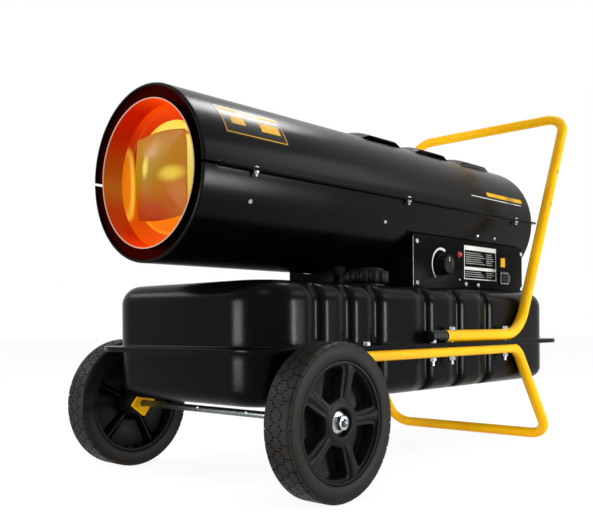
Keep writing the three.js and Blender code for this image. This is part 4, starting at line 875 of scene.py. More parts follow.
# %% [markdown]
# ## More finishes
# Screws, nuts and the guard are steel with a bright zinc plating, a metal of cool grey with fine
# cloudy crystals. The axle is bright drawn bar, and the filler neck is phosphated nearly black.
# Cap, knob, plugs and switch are black ABS or soft PVC, moulded against a spark-eroded tool,
# which leaves an even fine grain and a soft sheen. Tyres are solid rubber, cured in a steel
# mould: dark warm grey, matt, a little dusty. The wheel centres are polypropylene of nearly the
# same grey, smoother and with a wider sheen. Enamel, glaze, laminate, inks and film are smooth
# coats of two close tones too, so the same function makes them, with a finer or flatter grain.


# %% Metal, plastic and rubber
def bare_metal(name, light, dark, rough):
    """Plated, cast or turned metal: two close tones in cloudy crystals of a few millimetres."""
    finish, tree, shader, place = new_finish(name)
    crystals = put(tree, "ShaderNodeTexVoronoi", {0: place, "Scale": 0.5})
    cloud = put(tree, "ShaderNodeTexNoise", {0: place, "Scale": 0.12, "Detail": 4})
    blend = put(tree, "ShaderNodeMath", {0: crystals, 1: cloud}, operation="MULTIPLY")
    tone = put(tree, "ShaderNodeValToRGB", {0: blend}, stops=[(0.05, dark), (0.5, light)])
    spread = put(tree, "ShaderNodeMapRange", {0: cloud, 3: rough, 4: rough + 0.14})
    fill(shader, {"Base Color": tone, "Metallic": 1.0, "Roughness": spread})
    return finish


def moulded(name, light, dark, rough, grain, depth, mirror=0.25):
    """A polymer, a glaze, an ink or a film: two close tones, an even grain in mm, a soft sheen."""
    finish, tree, shader, place = new_finish(name)
    pores = put(tree, "ShaderNodeTexNoise", {0: place, "Scale": 1 / grain, "Detail": 3})
    cloud = put(tree, "ShaderNodeTexNoise", {0: place, "Scale": 0.03, "Detail": 4})
    bump = put(tree, "ShaderNodeBump", {"Strength": depth, "Distance": 0.0004, "Height": pores})
    tone = put(tree, "ShaderNodeValToRGB", {0: cloud}, stops=[(0.35, dark), (0.65, light)])
    spread = put(tree, "ShaderNodeMapRange", {0: pores, 3: rough - 0.06, 4: rough + 0.08})
    fill(shader, {"Base Color": tone, "Roughness": spread, "Normal": bump, "IOR": 1.5,
                  "Specular IOR Level": mirror})
    return finish


# Bright points and cool cloudy greys.
zinc_plate = bare_metal("bright_zinc_plated_steel", "c9ccd0", "8f949a", 0.24)
# A flat light grey, broken up by the sand's skin.
cast_aluminium = bare_metal("sand_cast_aluminium", "a3a5a8", "7d7f83", 0.42)
# A charcoal that hardly mirrors.
dark_steel = bare_metal("phosphated_steel", "3c3c3e", "28282a", 0.45)
# A darker, smoother bar with one long highlight.
drawn_steel = bare_metal("bright_drawn_steel", "7c8482", "525856", 0.26)
# A warm yellow glint.
brushed_brass = bare_metal("turned_brass", "c9a24a", "9a7630", 0.28)
# A deep black whose fine grain spreads each highlight.
black_abs = moulded("spark_grained_black_abs", "0c0b0a", "070606", 0.4, 0.7, 0.16, 0.08)
# A softer, greyer black.
soft_pvc = moulded("black_soft_pvc", "0a0a0a", "060606", 0.5, 1.0, 0.1)
# Nearly matt and warm, with the mould's coarse skin.
solid_rubber = moulded("cured_solid_rubber", "1b1815", "12100e", 0.48, 1.6, 0.22, 0.1)
# The rubber's grey, but smoother, so that ridges and rims catch the light.
hub_polypropylene = moulded("moulded_polypropylene", "1c1917", "141211", 0.42, 1.4, 0.1, 0.06)
# A cool, dull blue grey.
motor_enamel = moulded("blue_grey_motor_enamel", "343b44", "2a3038", 0.4, 1.2, 0.1)
# A warm white with sharp highlights.
glazed_ceramic = moulded("glazed_white_ceramic", "ece7dc", "ddd6c8", 0.2, 3.0, 0.05)
# A flat, glassy green.
circuit_laminate = moulded("green_circuit_laminate", "1f6038", "17492a", 0.35, 2.0, 0.08)
# Inks lie flat and dull on the shine around them, and the film shines more than the coat.
white_ink = moulded("white_screen_print", "d8d8d6", "c6c6c4", 0.5, 1.0, 0.05, 0.12)
yellow_ink = moulded("yellow_screen_print", "e0ac00", "cc9800", 0.4, 1.0, 0.05, 0.12)
grey_ink = moulded("grey_screen_print", "8d8d8b", "70706e", 0.5, 1.0, 0.05)
label_film = moulded("black_label_film", "060606", "030303", 0.24, 2.0, 0.04, 0.15)
print("finishes:", len(bpy.data.materials))

# %% [markdown]
# The lamp has a lens of red polycarbonate that glows faintly. To the eye such a lens is a sharp
# white glint over a deep, even red, so it gets a smooth clear coat over a little light.


# %% Lamp lens
def red_lens():
    finish, tree, shader, place = new_finish("red_polycarbonate_lens")
    cloud = put(tree, "ShaderNodeTexNoise", {0: place, "Scale": 0.4, "Detail": 1})
    tone = put(tree, "ShaderNodeValToRGB", {0: cloud}, stops=[(0.3, "a01016"), (0.7, "c41c20")])
    fill(shader, {"Base Color": tone, "Emission Color": tone, "Emission Strength": 0.25,
                  "Roughness": 0.12, "IOR": 1.58, "Coat Weight": 0.6})
    return finish


lens_red = red_lens()
print("lens:", lens_red.name)

# %% [markdown]
# ## Bent tube
# The wheel frame and the push handle are 19 mm steel tube, bent cold on a former. A tube is a
# middle line with arcs at its corners, and a section that rides along it without twisting. The
# struts are pressed flat at their lower ends, where the axle goes through.


# %% Bent tube helpers
def bent_line(corners, arc_steps=12):
    """Straight runs joined by arcs. Each corner is (point, bend radius)."""
    line = [Vector(corners[0][0])]
    for (before, _), (corner, bend), (after, _) in zip(corners, corners[1:], corners[2:]):
        corner = Vector(corner)
        into = (corner - Vector(before)).normalized()
        away = (Vector(after) - corner).normalized()
        turn = into.angle(away)
        if bend == 0 or turn < 1e-4:
            line.append(corner)
            continue
        start = corner - into * bend * math.tan(turn / 2)
        centre = corner + (away - into).normalized() * bend / math.cos(turn / 2)
        axis = into.cross(away).normalized()
        for step in range(arc_steps + 1):
            arm = (start - centre).copy()
            arm.rotate(Quaternion(axis, turn * step / arc_steps))
            line.append(centre + arm)
    line.append(Vector(corners[-1][0]))
    return line


def swept(name, line, side, section, sides=28):
    """A solid bar along a line. section(i, last) gives its half sizes and how square it is."""
    last = len(line) - 1
    tangents = [(line[min(i + 1, last)] - line[max(i - 1, 0)]).normalized() for i in range(last + 1)]
    normal = Vector(side)
    rings = []
    for i, point in enumerate(line):
        if i > 0:
            normal.rotate(tangents[i - 1].rotation_difference(tangents[i]))
        across = tangents[i].cross(normal)
        wide, thick, square = section(i, last)
        ring = []
        for k in range(sides):
            angle = math.tau * (k + 0.5) / sides
            u, v = math.cos(angle), math.sin(angle)
            blunt = max(abs(u), abs(v)) ** square
            ring.append(point + normal * (wide * u / blunt) + across * (thick * v / blunt))
        rings.append(ring)
    return skinned(name, rings, caps=True, crease=40)


# %% [markdown]
# One tube makes the whole wheel frame: strut, rail, rear leg, foot bar and back again. Its
# flattened ends go from round to flat over a short stretch.

# %% Wheel frame
tube_half = 9.5
rail_y = middle("left_frame_bolt_1").y
lower_rail_z = span("tank_lower")[1].z - sheet - 0.3 - tube_half
strut_angle = math.radians(52)
leg_start = axle.x + 556  # where the straight rail and the straight leg would meet
leg_lean = math.radians(36.5)
foot_z = tube_half
foot_x = leg_start + (lower_rail_z - foot_z) * math.tan(leg_lean)
strut_down = Vector((-math.cos(strut_angle), 0, -math.sin(strut_angle)))
strut_run = (lower_rail_z - axle.z) / math.tan(strut_angle)


def strut_point(side, reach):
    return Vector((axle.x, side * abs(rail_y), axle.z)) + strut_down * reach


def frame_corners(side):
    """Corners from the strut's flat end to the foot: close together where it is pressed flat."""
    y = side * abs(rail_y)
    flat = [(strut_point(side, reach), 0) for reach in (15, 14.2, -20, -23, -26, -29, -32, -36, -40)]
    return flat + [((axle.x + strut_run, y, lower_rail_z), 30), ((leg_start, y, lower_rail_z), 42),
                   ((foot_x, y, foot_z), 34)]


def frame_section(i, last):
    """Flat and wide over the first stretch of either end, round from there on."""
    order = min(i, last - i)
    if order == 0:
        return 2.0, 13.8, 0.96
    flat = [1.0, 1.0, 0.93, 0.75, 0.5, 0.25, 0.08, 0.0]
    share = flat[order - 1] if order <= len(flat) else 0.0
    thick = 2.5 + (tube_half - 2.5) * (1 - share)
    wide = tube_half + (14.5 - tube_half) * share
    return thick, wide, 0.96 * share


def wheel_frame():
    near, far = frame_corners(-1), frame_corners(1)
    line = bent_line(near + far[::-1])
    bar = swept("wheel_frame_tube", line, (0, 1, 0), frame_section)
    return drilled(bar, "y", axle, 5.4, -200, 200, 32)


dressed(wheel_frame(), frame_coat, "base", "frame_paint", "wheel_frame")

# %% [markdown]
# The handle is one tube too: two rails on the flange, two leaning uprights and a push bar. Its
# near upright has two small drilled holes, and ribbed black plugs close its front ends.

# %% Handle and plugs
HANDLE_LEAD = 11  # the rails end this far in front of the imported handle
HANDLE_HOLES = (446, 512)  # heights above the floor
PLUG_START = 14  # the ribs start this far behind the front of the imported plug
handle_low, handle_high = span("handle")
handle_rail_z = handle_low.z + tube_half
handle_front = handle_low.x - HANDLE_LEAD
handle_corner = axle.x + 566
handle_lean = math.radians(25.6)
handle_top = handle_high.z - tube_half
handle_top_x = handle_corner + (handle_top - handle_rail_z) * math.tan(handle_lean)


def round_tube(i, last):
    """The section that `swept` asks for: the same round at every point."""
    return tube_half, tube_half, 0.0


def handle():
    y = abs(rail_y)
    corners = [((handle_front, -y, handle_rail_z), 0), ((handle_corner, -y, handle_rail_z), 75),
               ((handle_top_x, -y, handle_top), 38), ((handle_top_x, y, handle_top), 38),
               ((handle_corner, y, handle_rail_z), 75), ((handle_front, y, handle_rail_z), 0)]
    bar = swept("push_handle_tube", bent_line(corners, 16), (0, 1, 0), round_tube)
    for height in HANDLE_HOLES:
        x = handle_corner + (height - handle_rail_z) * math.tan(handle_lean)
        bar = drilled(bar, "y", (x, 0, height), 3.2, -y - 12, -y - 4, 20)
    return bar


def plug(side):
    """A ribbed plug with notches for the bolts that pass through it."""
    low = span("left_handle_plug" if side < 0 else "right_handle_plug")[0]
    front, back = low.x + PLUG_START, handle_front - 0.3
    valley = tube_half - 1.0
    profile = [(0, front), (tube_half - 1.5, front), (tube_half - 0.4, front + 0.5)]
    ribs = 4
    pitch = (back - front - 2) / ribs
    for rib in range(ribs):
        start = front + 0.9 + pitch * rib
        crown = [(tube_half - 0.4, start), (tube_half, start + 0.6), (tube_half, start + pitch * 0.6)]
        profile += crown + [(valley, start + pitch * 0.72), (valley, start + pitch * 0.95)]
    profile += [(tube_half, back - 1), (tube_half, back), (0, back)]
    body = turned("plug", "x", (0, side * abs(rail_y), handle_rail_z), profile, 40)
    for name in ("left_frame_bolt_1", "left_frame_bolt_2"):
        x = middle(name).x
        low_z = span("tank_upper")[1].z - 95
        y = side * abs(rail_y)
        notch = block("notch", (x - 7, y - 12, low_z), (x + 7, y + 12, 197.5))
        body = combined(body, notch)
    return body


dressed(handle(), frame_coat, "base", "frame_paint", "handle")
for side, word in SIDES:
    rubber = plug(side)
    rubber.name = f"{word}_ribbed_plug"
    dressed(rubber, soft_pvc, "base", "black_plastic", f"{word}_handle_plug")

# %% [markdown]
# ## Fasteners by Geometry Nodes
# The same few screws and bolts hold everything, so each kind is drawn once in a node tree and
# copied to a list of points. A point carries the way its screw looks as an `aim` vector. The
# sizes are named inputs of the tree, set by socket before the first evaluation. The tree ends by
# making the copies real, and the evaluated mesh is kept as a plain one.


# %% Running a tree
def size_tree(name, sizes):
    """A geometry tree whose inputs are a mesh and named sizes, in millimetres."""
    tree = bpy.data.node_groups.new(name, "GeometryNodeTree")
    tree.interface.new_socket("Geometry", in_out="INPUT", socket_type="NodeSocketGeometry")
    for label, value in sizes.items():
        kind = "NodeSocketInt" if isinstance(value, int) else "NodeSocketFloat"
        tree.interface.new_socket(label, in_out="INPUT", socket_type=kind).default_value = value
    tree.interface.new_socket("Geometry", in_out="OUTPUT", socket_type="NodeSocketGeometry")
    given = put(tree, "NodeGroupInput")
    metres = {}
    for label, value in sizes.items():
        if isinstance(value, int):
            metres[label] = given.outputs[label]
        else:
            scaled = put(tree, "ShaderNodeMath", {0: given.outputs[label], 1: MM}, operation="MULTIPLY")
            metres[label] = scaled.outputs[0]
    return tree, given.outputs[0], metres


def close_tree(tree, geometry, finish):
    """Makes copies real, gives them their finish and ends the tree."""
    real = put(tree, "GeometryNodeRealizeInstances", {0: geometry})
    painted = put(tree, "GeometryNodeSetMaterial", {0: real, "Material": finish})
    put(tree, "NodeGroupOutput", {0: painted})


def grown(name, tree, source, sizes=None, crease=35):
    """Runs a tree on a source object and keeps the result as a plain mesh."""
    modifier = source.modifiers.new(name, "NODES")
    modifier.node_group = tree
    for item in tree.interface.items_tree:
        if item.in_out == "INPUT" and item.name in (sizes or {}):
            modifier[item.identifier] = sizes[item.name]
    source.name = name
    frozen(source)
    return tidied(source, crease)


def aimed_points(name, places):
    """Loose points in millimetres, each with the direction its screw looks in."""
    mesh = bpy.data.meshes.new(name)
    mesh.from_pydata([Vector(place) * MM for place, aim in places], [], [])
    aims = mesh.attributes.new("aim", "FLOAT_VECTOR", "POINT")
    aims.data.foreach_set("vector", [value for place, aim in places for value in aim])
    return in_scene(name, mesh)


def fasteners(name, tree, places, sizes=None):
    """Screws or bolts of one tree as a plain mesh. Each place is a point and an aim."""
    return grown(name, tree, aimed_points(name, places), sizes)


def set_on_points(tree, points, shape):
    """Copies a shape to every point, turned so that its Z looks along the point's aim."""
    aim = put(tree, "GeometryNodeInputNamedAttribute", {"Name": "aim"}, data_type="FLOAT_VECTOR")
    turn = put(tree, "FunctionNodeAlignRotationToVector", {"Vector": aim}, axis="Z")
    return put(tree, "GeometryNodeInstanceOnPoints",
               {"Points": points, "Instance": shape, "Rotation": turn})


# %% [markdown]
# A pan-head screw is a flattened ball, half sunk in the sheet, and two thin bars cut its cross
# recess. A hexagon bolt is a six-sided prism whose corners taper off at the top, on a round shank.


# %% Pan-head screw and hexagon bolt trees
def pan_screw_tree(finish):
    tree, points, size = size_tree("pan_head_screw", {"Head radius": 4.2, "Head height": 2.6})
    dome = put(tree, "GeometryNodeMeshUVSphere", {"Segments": 20, "Rings": 10, "Radius": 1.0})
    wide = put(tree, "ShaderNodeCombineXYZ",
               {0: size["Head radius"], 1: size["Head radius"], 2: size["Head height"]})
    head = put(tree, "GeometryNodeTransform", {0: dome, "Scale": wide})
    bar_shares = (("Head radius", 1.15), ("Head radius", 0.26), ("Head height", 1.1))
    long, thin, depth = [put(tree, "ShaderNodeMath", {0: size[label], 1: share}, operation="MULTIPLY")
                         for label, share in bar_shares]
    raised = put(tree, "ShaderNodeCombineXYZ", {2: size["Head height"]})
    for first, second in ((long, thin), (thin, long)):
        extent = put(tree, "ShaderNodeCombineXYZ", {0: first, 1: second, 2: depth})
        bar = put(tree, "GeometryNodeMeshCube", {"Size": extent})
        cutter = put(tree, "GeometryNodeTransform", {0: bar, "Translation": raised})
        head = put(tree, "GeometryNodeMeshBoolean", {0: head, 1: cutter}, operation="DIFFERENCE")
    close_tree(tree, set_on_points(tree, points, head), finish)
    return tree


def hex_bolt_tree(finish):
    sizes = {"Across corners": 11.5, "Head height": 5.0, "Shank radius": 3.0, "Shank length": 40.0}
    tree, points, size = size_tree("hexagon_bolt", sizes)
    shares = ((size["Across corners"], 0.5), (size["Across corners"], 0.435),
              (size["Head height"], 0.84), (size["Head height"], 0.16), (size["Shank length"], -1.0))
    radius, small, body_height, cap_height, down = [
        put(tree, "ShaderNodeMath", {0: whole, 1: share}, operation="MULTIPLY") for whole, share in shares]
    body = put(tree, "GeometryNodeMeshCone",
               {"Vertices": 6, "Radius Top": radius, "Radius Bottom": radius, "Depth": body_height})
    cap = put(tree, "GeometryNodeMeshCone",
              {"Vertices": 6, "Radius Top": small, "Radius Bottom": radius, "Depth": cap_height})
    raised = put(tree, "ShaderNodeCombineXYZ", {2: body_height})
    top = put(tree, "GeometryNodeTransform", {0: cap, "Translation": raised})
    shank = put(tree, "GeometryNodeMeshCone",
                {"Vertices": 20, "Radius Top": size["Shank radius"],
                 "Radius Bottom": size["Shank radius"], "Depth": size["Shank length"]})
    drop = put(tree, "ShaderNodeCombineXYZ", {2: down})
    stem = put(tree, "GeometryNodeTransform", {0: shank, "Translation": drop})
    bolt = put(tree, "GeometryNodeJoinGeometry", {0: [body, top, stem]})
    close_tree(tree, set_on_points(tree, points, bolt), finish)
    return tree


pan_screws = pan_screw_tree(zinc_plate)
hex_bolts = hex_bolt_tree(zinc_plate)
print("trees:", [tree.name for tree in bpy.data.node_groups])

# %% [markdown]
# Where the screws sit: six on the seam lips, four down each side of the lower shell, and six
# round the control panel. The bolts through the flange and the rails are pairs of a head and a
# nut, with the end of the shank showing below.

# %% Screws and bolts in place
SIDE_SCREWS = [axle.x - 38, axle.x + 255, axle.x + 539, axle.x + 602]
SIDE_SCREW_ANGLE = math.radians(20)  # below the seam
NUT_SIZES = {"Across corners": 8.0, "Head height": 3.0, "Shank radius": 2.0, "Shank length": 4.0}
TAIL_SIZES = {"Across corners": 3.6, "Head height": 5.0, "Shank radius": 1.6, "Shank length": 0.1}
for word in ("left", "right"):
    for index in (1, 2, 3):
        node = f"{word}_seam_screw_{index}"
        place = middle(node)
        top = span(node)[1].z - 2.6
        head = fasteners("head", pan_screws, [((place.x, place.y, top), (0, 0, 1))])
        nut = fasteners("nut", hex_bolts, [((place.x, place.y, tube_z - 2.1), (0, 0, -1))], NUT_SIZES)
        tail = fasteners("tail", hex_bolts, [((place.x, place.y, tube_z - 9.0), (0, 0, 1))], TAIL_SIZES)
        screw = joined(f"{word}_seam_fastener_{index}", head, nut, tail)
        dressed(tidied(screw), zinc_plate, "base", "zinc", node)

side_screws = []
for x in SIDE_SCREWS:
    for side in (-1, 1):
        out = Vector((0, side * math.cos(SIDE_SCREW_ANGLE), -math.sin(SIDE_SCREW_ANGLE)))
        side_screws.append((Vector((x, 0, tube_z)) + out * (tube_radius - 0.3), out))
side_sizes = {"Head radius": 3.6, "Head height": 2.4}
dressed(fasteners("lower_shell_screws", pan_screws, side_screws, side_sizes), zinc_plate, "base", "zinc")

for word in ("left", "right"):
    for kind in ("frame", "handle"):
        for index in (1, 2):
            node = f"{word}_{kind}_bolt_{index}"
            low, high = span(node)
            place = middle(node)
            top = high.z - 5
            bolt = fasteners("bolt", hex_bolts, [((place.x, place.y, top), (0, 0, 1))],
                             {"Shank length": top - low.z})
            nut_top = lower_rail_z - tube_half - 0.5
            nut = fasteners("nut", hex_bolts, [((place.x, place.y, nut_top), (0, 0, -1))],
                            {"Shank length": 0.1})
            dressed(tidied(joined(f"{node}_set", bolt, nut)), zinc_plate, "base", "zinc", node)

# %% [markdown]
# ## Wheels
# Solid rubber tyres sit on moulded centres with five spokes. The tread is three rows of low
# blocks with narrow grooves. The blocks of the two outer rows have a tab that reaches in between
# the tabs of the middle row, so the rows lock like a puzzle. One set of blocks is laid out flat in
# a node tree, copied along a line as long as the tyre's girth, and the strip is then rolled onto
# the crown, where it drops towards the shoulders just as the tyre does.

# %% Tyre with rolled-on tread
wheel_y = abs(middle("left_tyre").y)
tyre_radius = span("left_tyre")[1].z - axle.z
CROWN_RADIUS = tyre_radius - 2.2
CROWN_FLAT = 17
SHOULDER_DROP = 0.16
# Each row of blocks: place across, shift (a share of the pitch), width, length (also a share).
TREAD_BLOCKS = [(-14.6, 0.0, 11.4, 1.0), (-7.2, 0.0, 3.6, 0.5), (0.0, 0.5, 9.4, 1.0), (-6.3, 0.5, 3.4, 0.5),
                (6.3, 0.5, 3.4, 0.5), (7.2, 0.0, 3.6, 0.5), (14.6, 0.0, 11.4, 1.0)]


def crown_at(across):
    """The tyre's radius at a place across it: flat in the middle, lower at the shoulders."""
    return CROWN_RADIUS - SHOULDER_DROP * max(0, abs(across) - CROWN_FLAT) ** 2


def block_columns(tree, size, pitch):
    """One block of each row, laid out flat side by side."""
    raised = put(tree, "ShaderNodeMath", {0: size["Block height"], 1: 0.5}, operation="MULTIPLY")
    rows = []
    for across, phase, wide, share in TREAD_BLOCKS:
        whole = put(tree, "ShaderNodeMath", {0: pitch, 1: share}, operation="MULTIPLY")
        long = put(tree, "ShaderNodeMath", {0: whole, 1: size["Groove"]}, operation="SUBTRACT")
        extent = put(tree, "ShaderNodeCombineXYZ", {0: wide * MM, 1: long, 2: size["Block height"]})
        shape = put(tree, "GeometryNodeMeshCube", {"Size": extent, "Vertices X": 5, "Vertices Y": 4})
        along = put(tree, "ShaderNodeMath", {0: pitch, 1: phase}, operation="MULTIPLY")
        shift = put(tree, "ShaderNodeCombineXYZ", {0: across * MM, 1: along, 2: raised})
        rows.append(put(tree, "GeometryNodeTransform", {0: shape, "Translation": shift}))
    return put(tree, "GeometryNodeJoinGeometry", {0: rows})


def tread_tree(finish):
    sizes = {"Blocks round": 37, "Crown radius": CROWN_RADIUS, "Block height": 2.0, "Groove": 1.5,
             "Flat half": float(CROWN_FLAT)}
    tree, tyre_skin, size = size_tree("rolled_tread", sizes)
    girth = put(tree, "ShaderNodeMath", {0: size["Crown radius"], 1: math.tau}, operation="MULTIPLY")
    pitch = put(tree, "ShaderNodeMath", {0: girth, 1: size["Blocks round"]}, operation="DIVIDE")
    columns = block_columns(tree, size, pitch)
    step = put(tree, "ShaderNodeCombineXYZ", {1: pitch})
    line = put(tree, "GeometryNodeMeshLine", {"Count": size["Blocks round"], "Offset": step})
    strip = put(tree, "GeometryNodeInstanceOnPoints", {"Points": line, "Instance": columns})
    loose = put(tree, "GeometryNodeRealizeInstances", {0: strip})
    place = put(tree, "GeometryNodeInputPosition")
    part = put(tree, "ShaderNodeSeparateXYZ", {0: place})
    angle = put(tree, "ShaderNodeMath", {0: part.outputs["Y"], 1: size["Crown radius"]}, operation="DIVIDE")
    off = put(tree, "ShaderNodeMath", {0: part.outputs["X"]}, operation="ABSOLUTE")
    beyond = put(tree, "ShaderNodeMath", {0: off, 1: size["Flat half"]}, operation="SUBTRACT")
    beyond = put(tree, "ShaderNodeMath", {0: beyond, 1: 0.0}, operation="MAXIMUM")
    square = put(tree, "ShaderNodeMath", {0: beyond, 1: beyond}, operation="MULTIPLY")
    drop = put(tree, "ShaderNodeMath", {0: square, 1: SHOULDER_DROP / MM}, operation="MULTIPLY")
    height = put(tree, "ShaderNodeMath", {0: part.outputs["Z"], 1: drop}, operation="SUBTRACT")
    radius = put(tree, "ShaderNodeMath", {0: height, 1: size["Crown radius"]}, operation="ADD")
    cosine = put(tree, "ShaderNodeMath", {0: angle}, operation="COSINE")
    sine = put(tree, "ShaderNodeMath", {0: angle}, operation="SINE")
    x = put(tree, "ShaderNodeMath", {0: radius, 1: cosine}, operation="MULTIPLY")
    z = put(tree, "ShaderNodeMath", {0: radius, 1: sine}, operation="MULTIPLY")
    rolled = put(tree, "ShaderNodeCombineXYZ", {0: x, 1: part.outputs["X"], 2: z})
    blocks = put(tree, "GeometryNodeSetPosition", {0: loose, "Position": rolled})
    close_tree(tree, put(tree, "GeometryNodeJoinGeometry", {0: [tyre_skin, blocks]}), finish)
    return tree


# %% [markdown]
# The tyre's skin is turned from half a section and its mirror image. It goes through the tree,
# which adds the rolled tread, and is then moved to the axle.


# %% Tyres
def tyre(side, word, tree):
    """A tyre skin turned from half a section and its mirror image, with the tread rolled on."""
    half = 21
    right_crown = [(crown_at(across), across) for across in (17, 18.2, 19.4, 20.6)]
    crown = [(radius, -across) for radius, across in reversed(right_crown)] + right_crown
    wall = [(94.6, half), (86, half), (80.5, half - 0.4), (78.6, half - 1.0), (77.4, half - 1.6),
            (77, 18.6)]
    profile = [(radius, -out) for radius, out in reversed(wall)] + crown + wall
    skin = turned("tyre", "y", (0, 0, 0), profile, 120, crease=50)
    rubber = grown(f"{word}_treaded_tyre", tree, skin, crease=30)
    return moved(rubber, (axle.x, side * wheel_y, axle.z))


tread = tread_tree(solid_rubber)
for side, word in SIDES:
    dressed(tyre(side, word, tread), solid_rubber, f"{word}_wheel", "tyre_rubber", f"{word}_tyre")

# %% [markdown]
# The wheel centre is a dish with a tall rim. Five deep pockets are sunk between the spokes, and
# from the inner side they show as closed cups. Each spoke carries a rounded ridge that widens
# towards the rim. A pocket is one rounded outline drawn at several offsets, so its mouth and its
# floor are rounded too.


# %% Pockets and ridges
def ring_outline(corners):
    """A closed flat outline with rounded corners, from (u, v, radius), as (u, v) pairs."""
    first, last = corners[0], corners[-1]
    start = ((first[0] + last[0]) / 2, (first[1] + last[1]) / 2, 0)
    path = [(start, 0)] + [((u, v, 0), radius) for u, v, radius in corners] + [(start, 0)]
    return [(point.x, point.y) for point in bent_line(path, 5)[:-1]]


def pocket_outline(grow):
    """The pocket's outline round the +u direction, grown by an offset in millimetres."""
    inner, outer = 30 - grow, 69.4 + grow
    half = 10.5 + grow * 0.75
    spread = math.radians(26.5) + grow / 70
    rim = [(outer * math.cos(a), outer * math.sin(a), 0.01) for a in
           [spread * share for share in (-0.7, -0.47, -0.23, 0, 0.23, 0.47, 0.7)]]
    corner = (outer * math.cos(spread), outer * math.sin(spread))
    low = [(inner, -half, 3.5 + grow), (corner[0], -corner[1], 4.5 + grow)]
    high = [(corner[0], corner[1], 4.5 + grow), (inner, half, 3.5 + grow)]
    return ring_outline(low + rim + high)


def pocket_solid(name, levels, angle):
    """A closed solid through (offset, height) levels, turned to its place between two spokes."""
    rings = []
    for grow, out in levels:
        ring = []
        for u, v in pocket_outline(grow):
            ring.append((u * math.cos(angle) - v * math.sin(angle), out,
                         u * math.sin(angle) + v * math.cos(angle)))
        rings.append(ring)
    return skinned(name, rings, caps=True)


def spoke_ridge(angle):
    """The ridge on a spoke, from the hub to the rim, with its width and height at each radius."""
    stations = [22, 25, 30, 38, 46, 54, 60, 65, 69, 72]
    half_widths = [6.5, 6.2, 5.6, 5.0, 4.8, 5.0, 5.8, 7.2, 9.2, 11]
    heights = [1.0, 2.2, 3.2, 3.9, 4.3, 4.5, 4.6, 4.6, 4.6, 4.6]
    line = [Vector((r * math.cos(angle), 13.6, r * math.sin(angle))) for r in stations]
    across = (-math.sin(angle), 0, math.cos(angle))
    return swept("ridge", line, across, lambda i, last: (half_widths[i], heights[i], 0), 24)


# %% [markdown]
# Closed cups are added to the dish first and the pockets are then cut out of both, so every
# pocket keeps an even wall. Thin ribs stiffen the spokes and the rim from behind.


# %% Both wheel centres
def wheel_centre(side, word, phase):
    """A dish with five pockets and spokes. phase is how far the wheel has rolled, in degrees."""
    outer = [(5.5, 11), (17.5, 11), (17.5, 16.4), (18, 17.5), (19.2, 18.2), (21, 18.3), (25, 17.6)]
    outer += [(32, 15.6), (45, 15), (69.8, 15), (71, 15.3), (71.9, 16.2), (72.3, 18.2), (73.2, 19)]
    rim = [(75.8, 19), (76.6, 18.3), (76.6, -18.3), (75.8, -19), (73, -19), (71.8, -18)]
    inner = [(71, 10), (70, 11), (26, 11), (23, 8), (22, -3), (18, -31.5), (17, -32.5), (5.5, -32.5)]
    dish = turned("dish", "y", (0, 0, 0), outer + rim + inner, 100)
    turns = [math.radians(phase + 72 * i) for i in range(5)]
    between = [turn + math.radians(36) for turn in turns]
    cup_levels = [(2.4, 12), (2.4, -4.2), (2.1, -5.0), (1.2, -5.5)]
    void_levels = [(-1.6, -3), (-0.6, -2.7), (0, -1.9), (0, 13.2), (0.3, 14.3), (1.0, 15.05), (1.0, 22)]
    cups = joined("cups", *[pocket_solid("cup", cup_levels, turn) for turn in between])
    ridges = joined("ridges", *[spoke_ridge(turn) for turn in turns])
    voids = joined("voids", *[pocket_solid("void", void_levels, turn) for turn in between])
    centre = combined(dish, cups, "UNION")
    centre = combined(centre, ridges, "UNION")
    centre = combined(centre, voids, crease=32)
    ribs = []
    for turn in turns:
        rib = block("rib", (21, -12, -1.2), (71.4, 12, 1.2))
        rib.data.transform(Matrix.Rotation(-turn, 4, "Y"))
        ribs.append(rib)
    for turn in between:
        for offset in (-17, 0, 17):
            rib = block("rib", (69, -15, -1.2), (71.9, 12, 1.2))
            rib.data.transform(Matrix.Rotation(-turn - math.radians(offset), 4, "Y"))
            ribs.append(rib)
    centre = joined(f"{word}_wheel_centre", centre, *ribs)
    if side < 0:
        centre.data.transform(Matrix.Scale(-1, 4, (0, 1, 0)))
    return tidied(moved(centre, (axle.x, side * wheel_y, axle.z)), 32)


WHEEL_PHASE = {"left": 3, "right": 10}
for side, word in SIDES:
    centre = wheel_centre(side, word, WHEEL_PHASE[word])
    dressed(centre, hub_polypropylene, f"{word}_wheel", "hub_plastic", f"{word}_wheel_hub")

# %% [markdown]
# The axle is a plain rod through both struts, with thread at its ends and two crimps that keep it
# from sliding. The nuts are hexagons with a pressed-on flange. A hexagon nut is a prism whose
# corners are turned off by a cone, so it is cut as the intersection of the two.


# %% Axle and nuts
def axle_rod():
    reach = span("axle")[1].y
    radius = 5
    thread = []
    start, pitch = reach - 26, 1.5
    for turn in range(15):
        y = start + pitch * turn
        thread += [(radius - 0.7, y), (radius - 0.05, y + pitch * 0.45), (radius - 0.7, y + pitch * 0.9)]
    tip = [(radius - 0.8, reach - 2.2), (radius - 0.9, reach - 1), (radius - 1.9, reach), (0, reach)]
    end = thread + tip
    start_end = [(r, -y) for r, y in reversed(end)]
    middle_run = [(radius, -start + 1), (radius, start - 1)]
    rod = turned("axle_rod", "y", axle, start_end + middle_run + end, 32)
    crimps = []
    for place in (-62, 40):
        low = (axle.x - 4.9, place - 5, axle.z - 4.2)
        crimps.append(rounded(block("crimp", low, (axle.x + 4.9, place + 5, axle.z + 4.2)), 1.5))
    return joined("axle_rod", rod, *crimps)


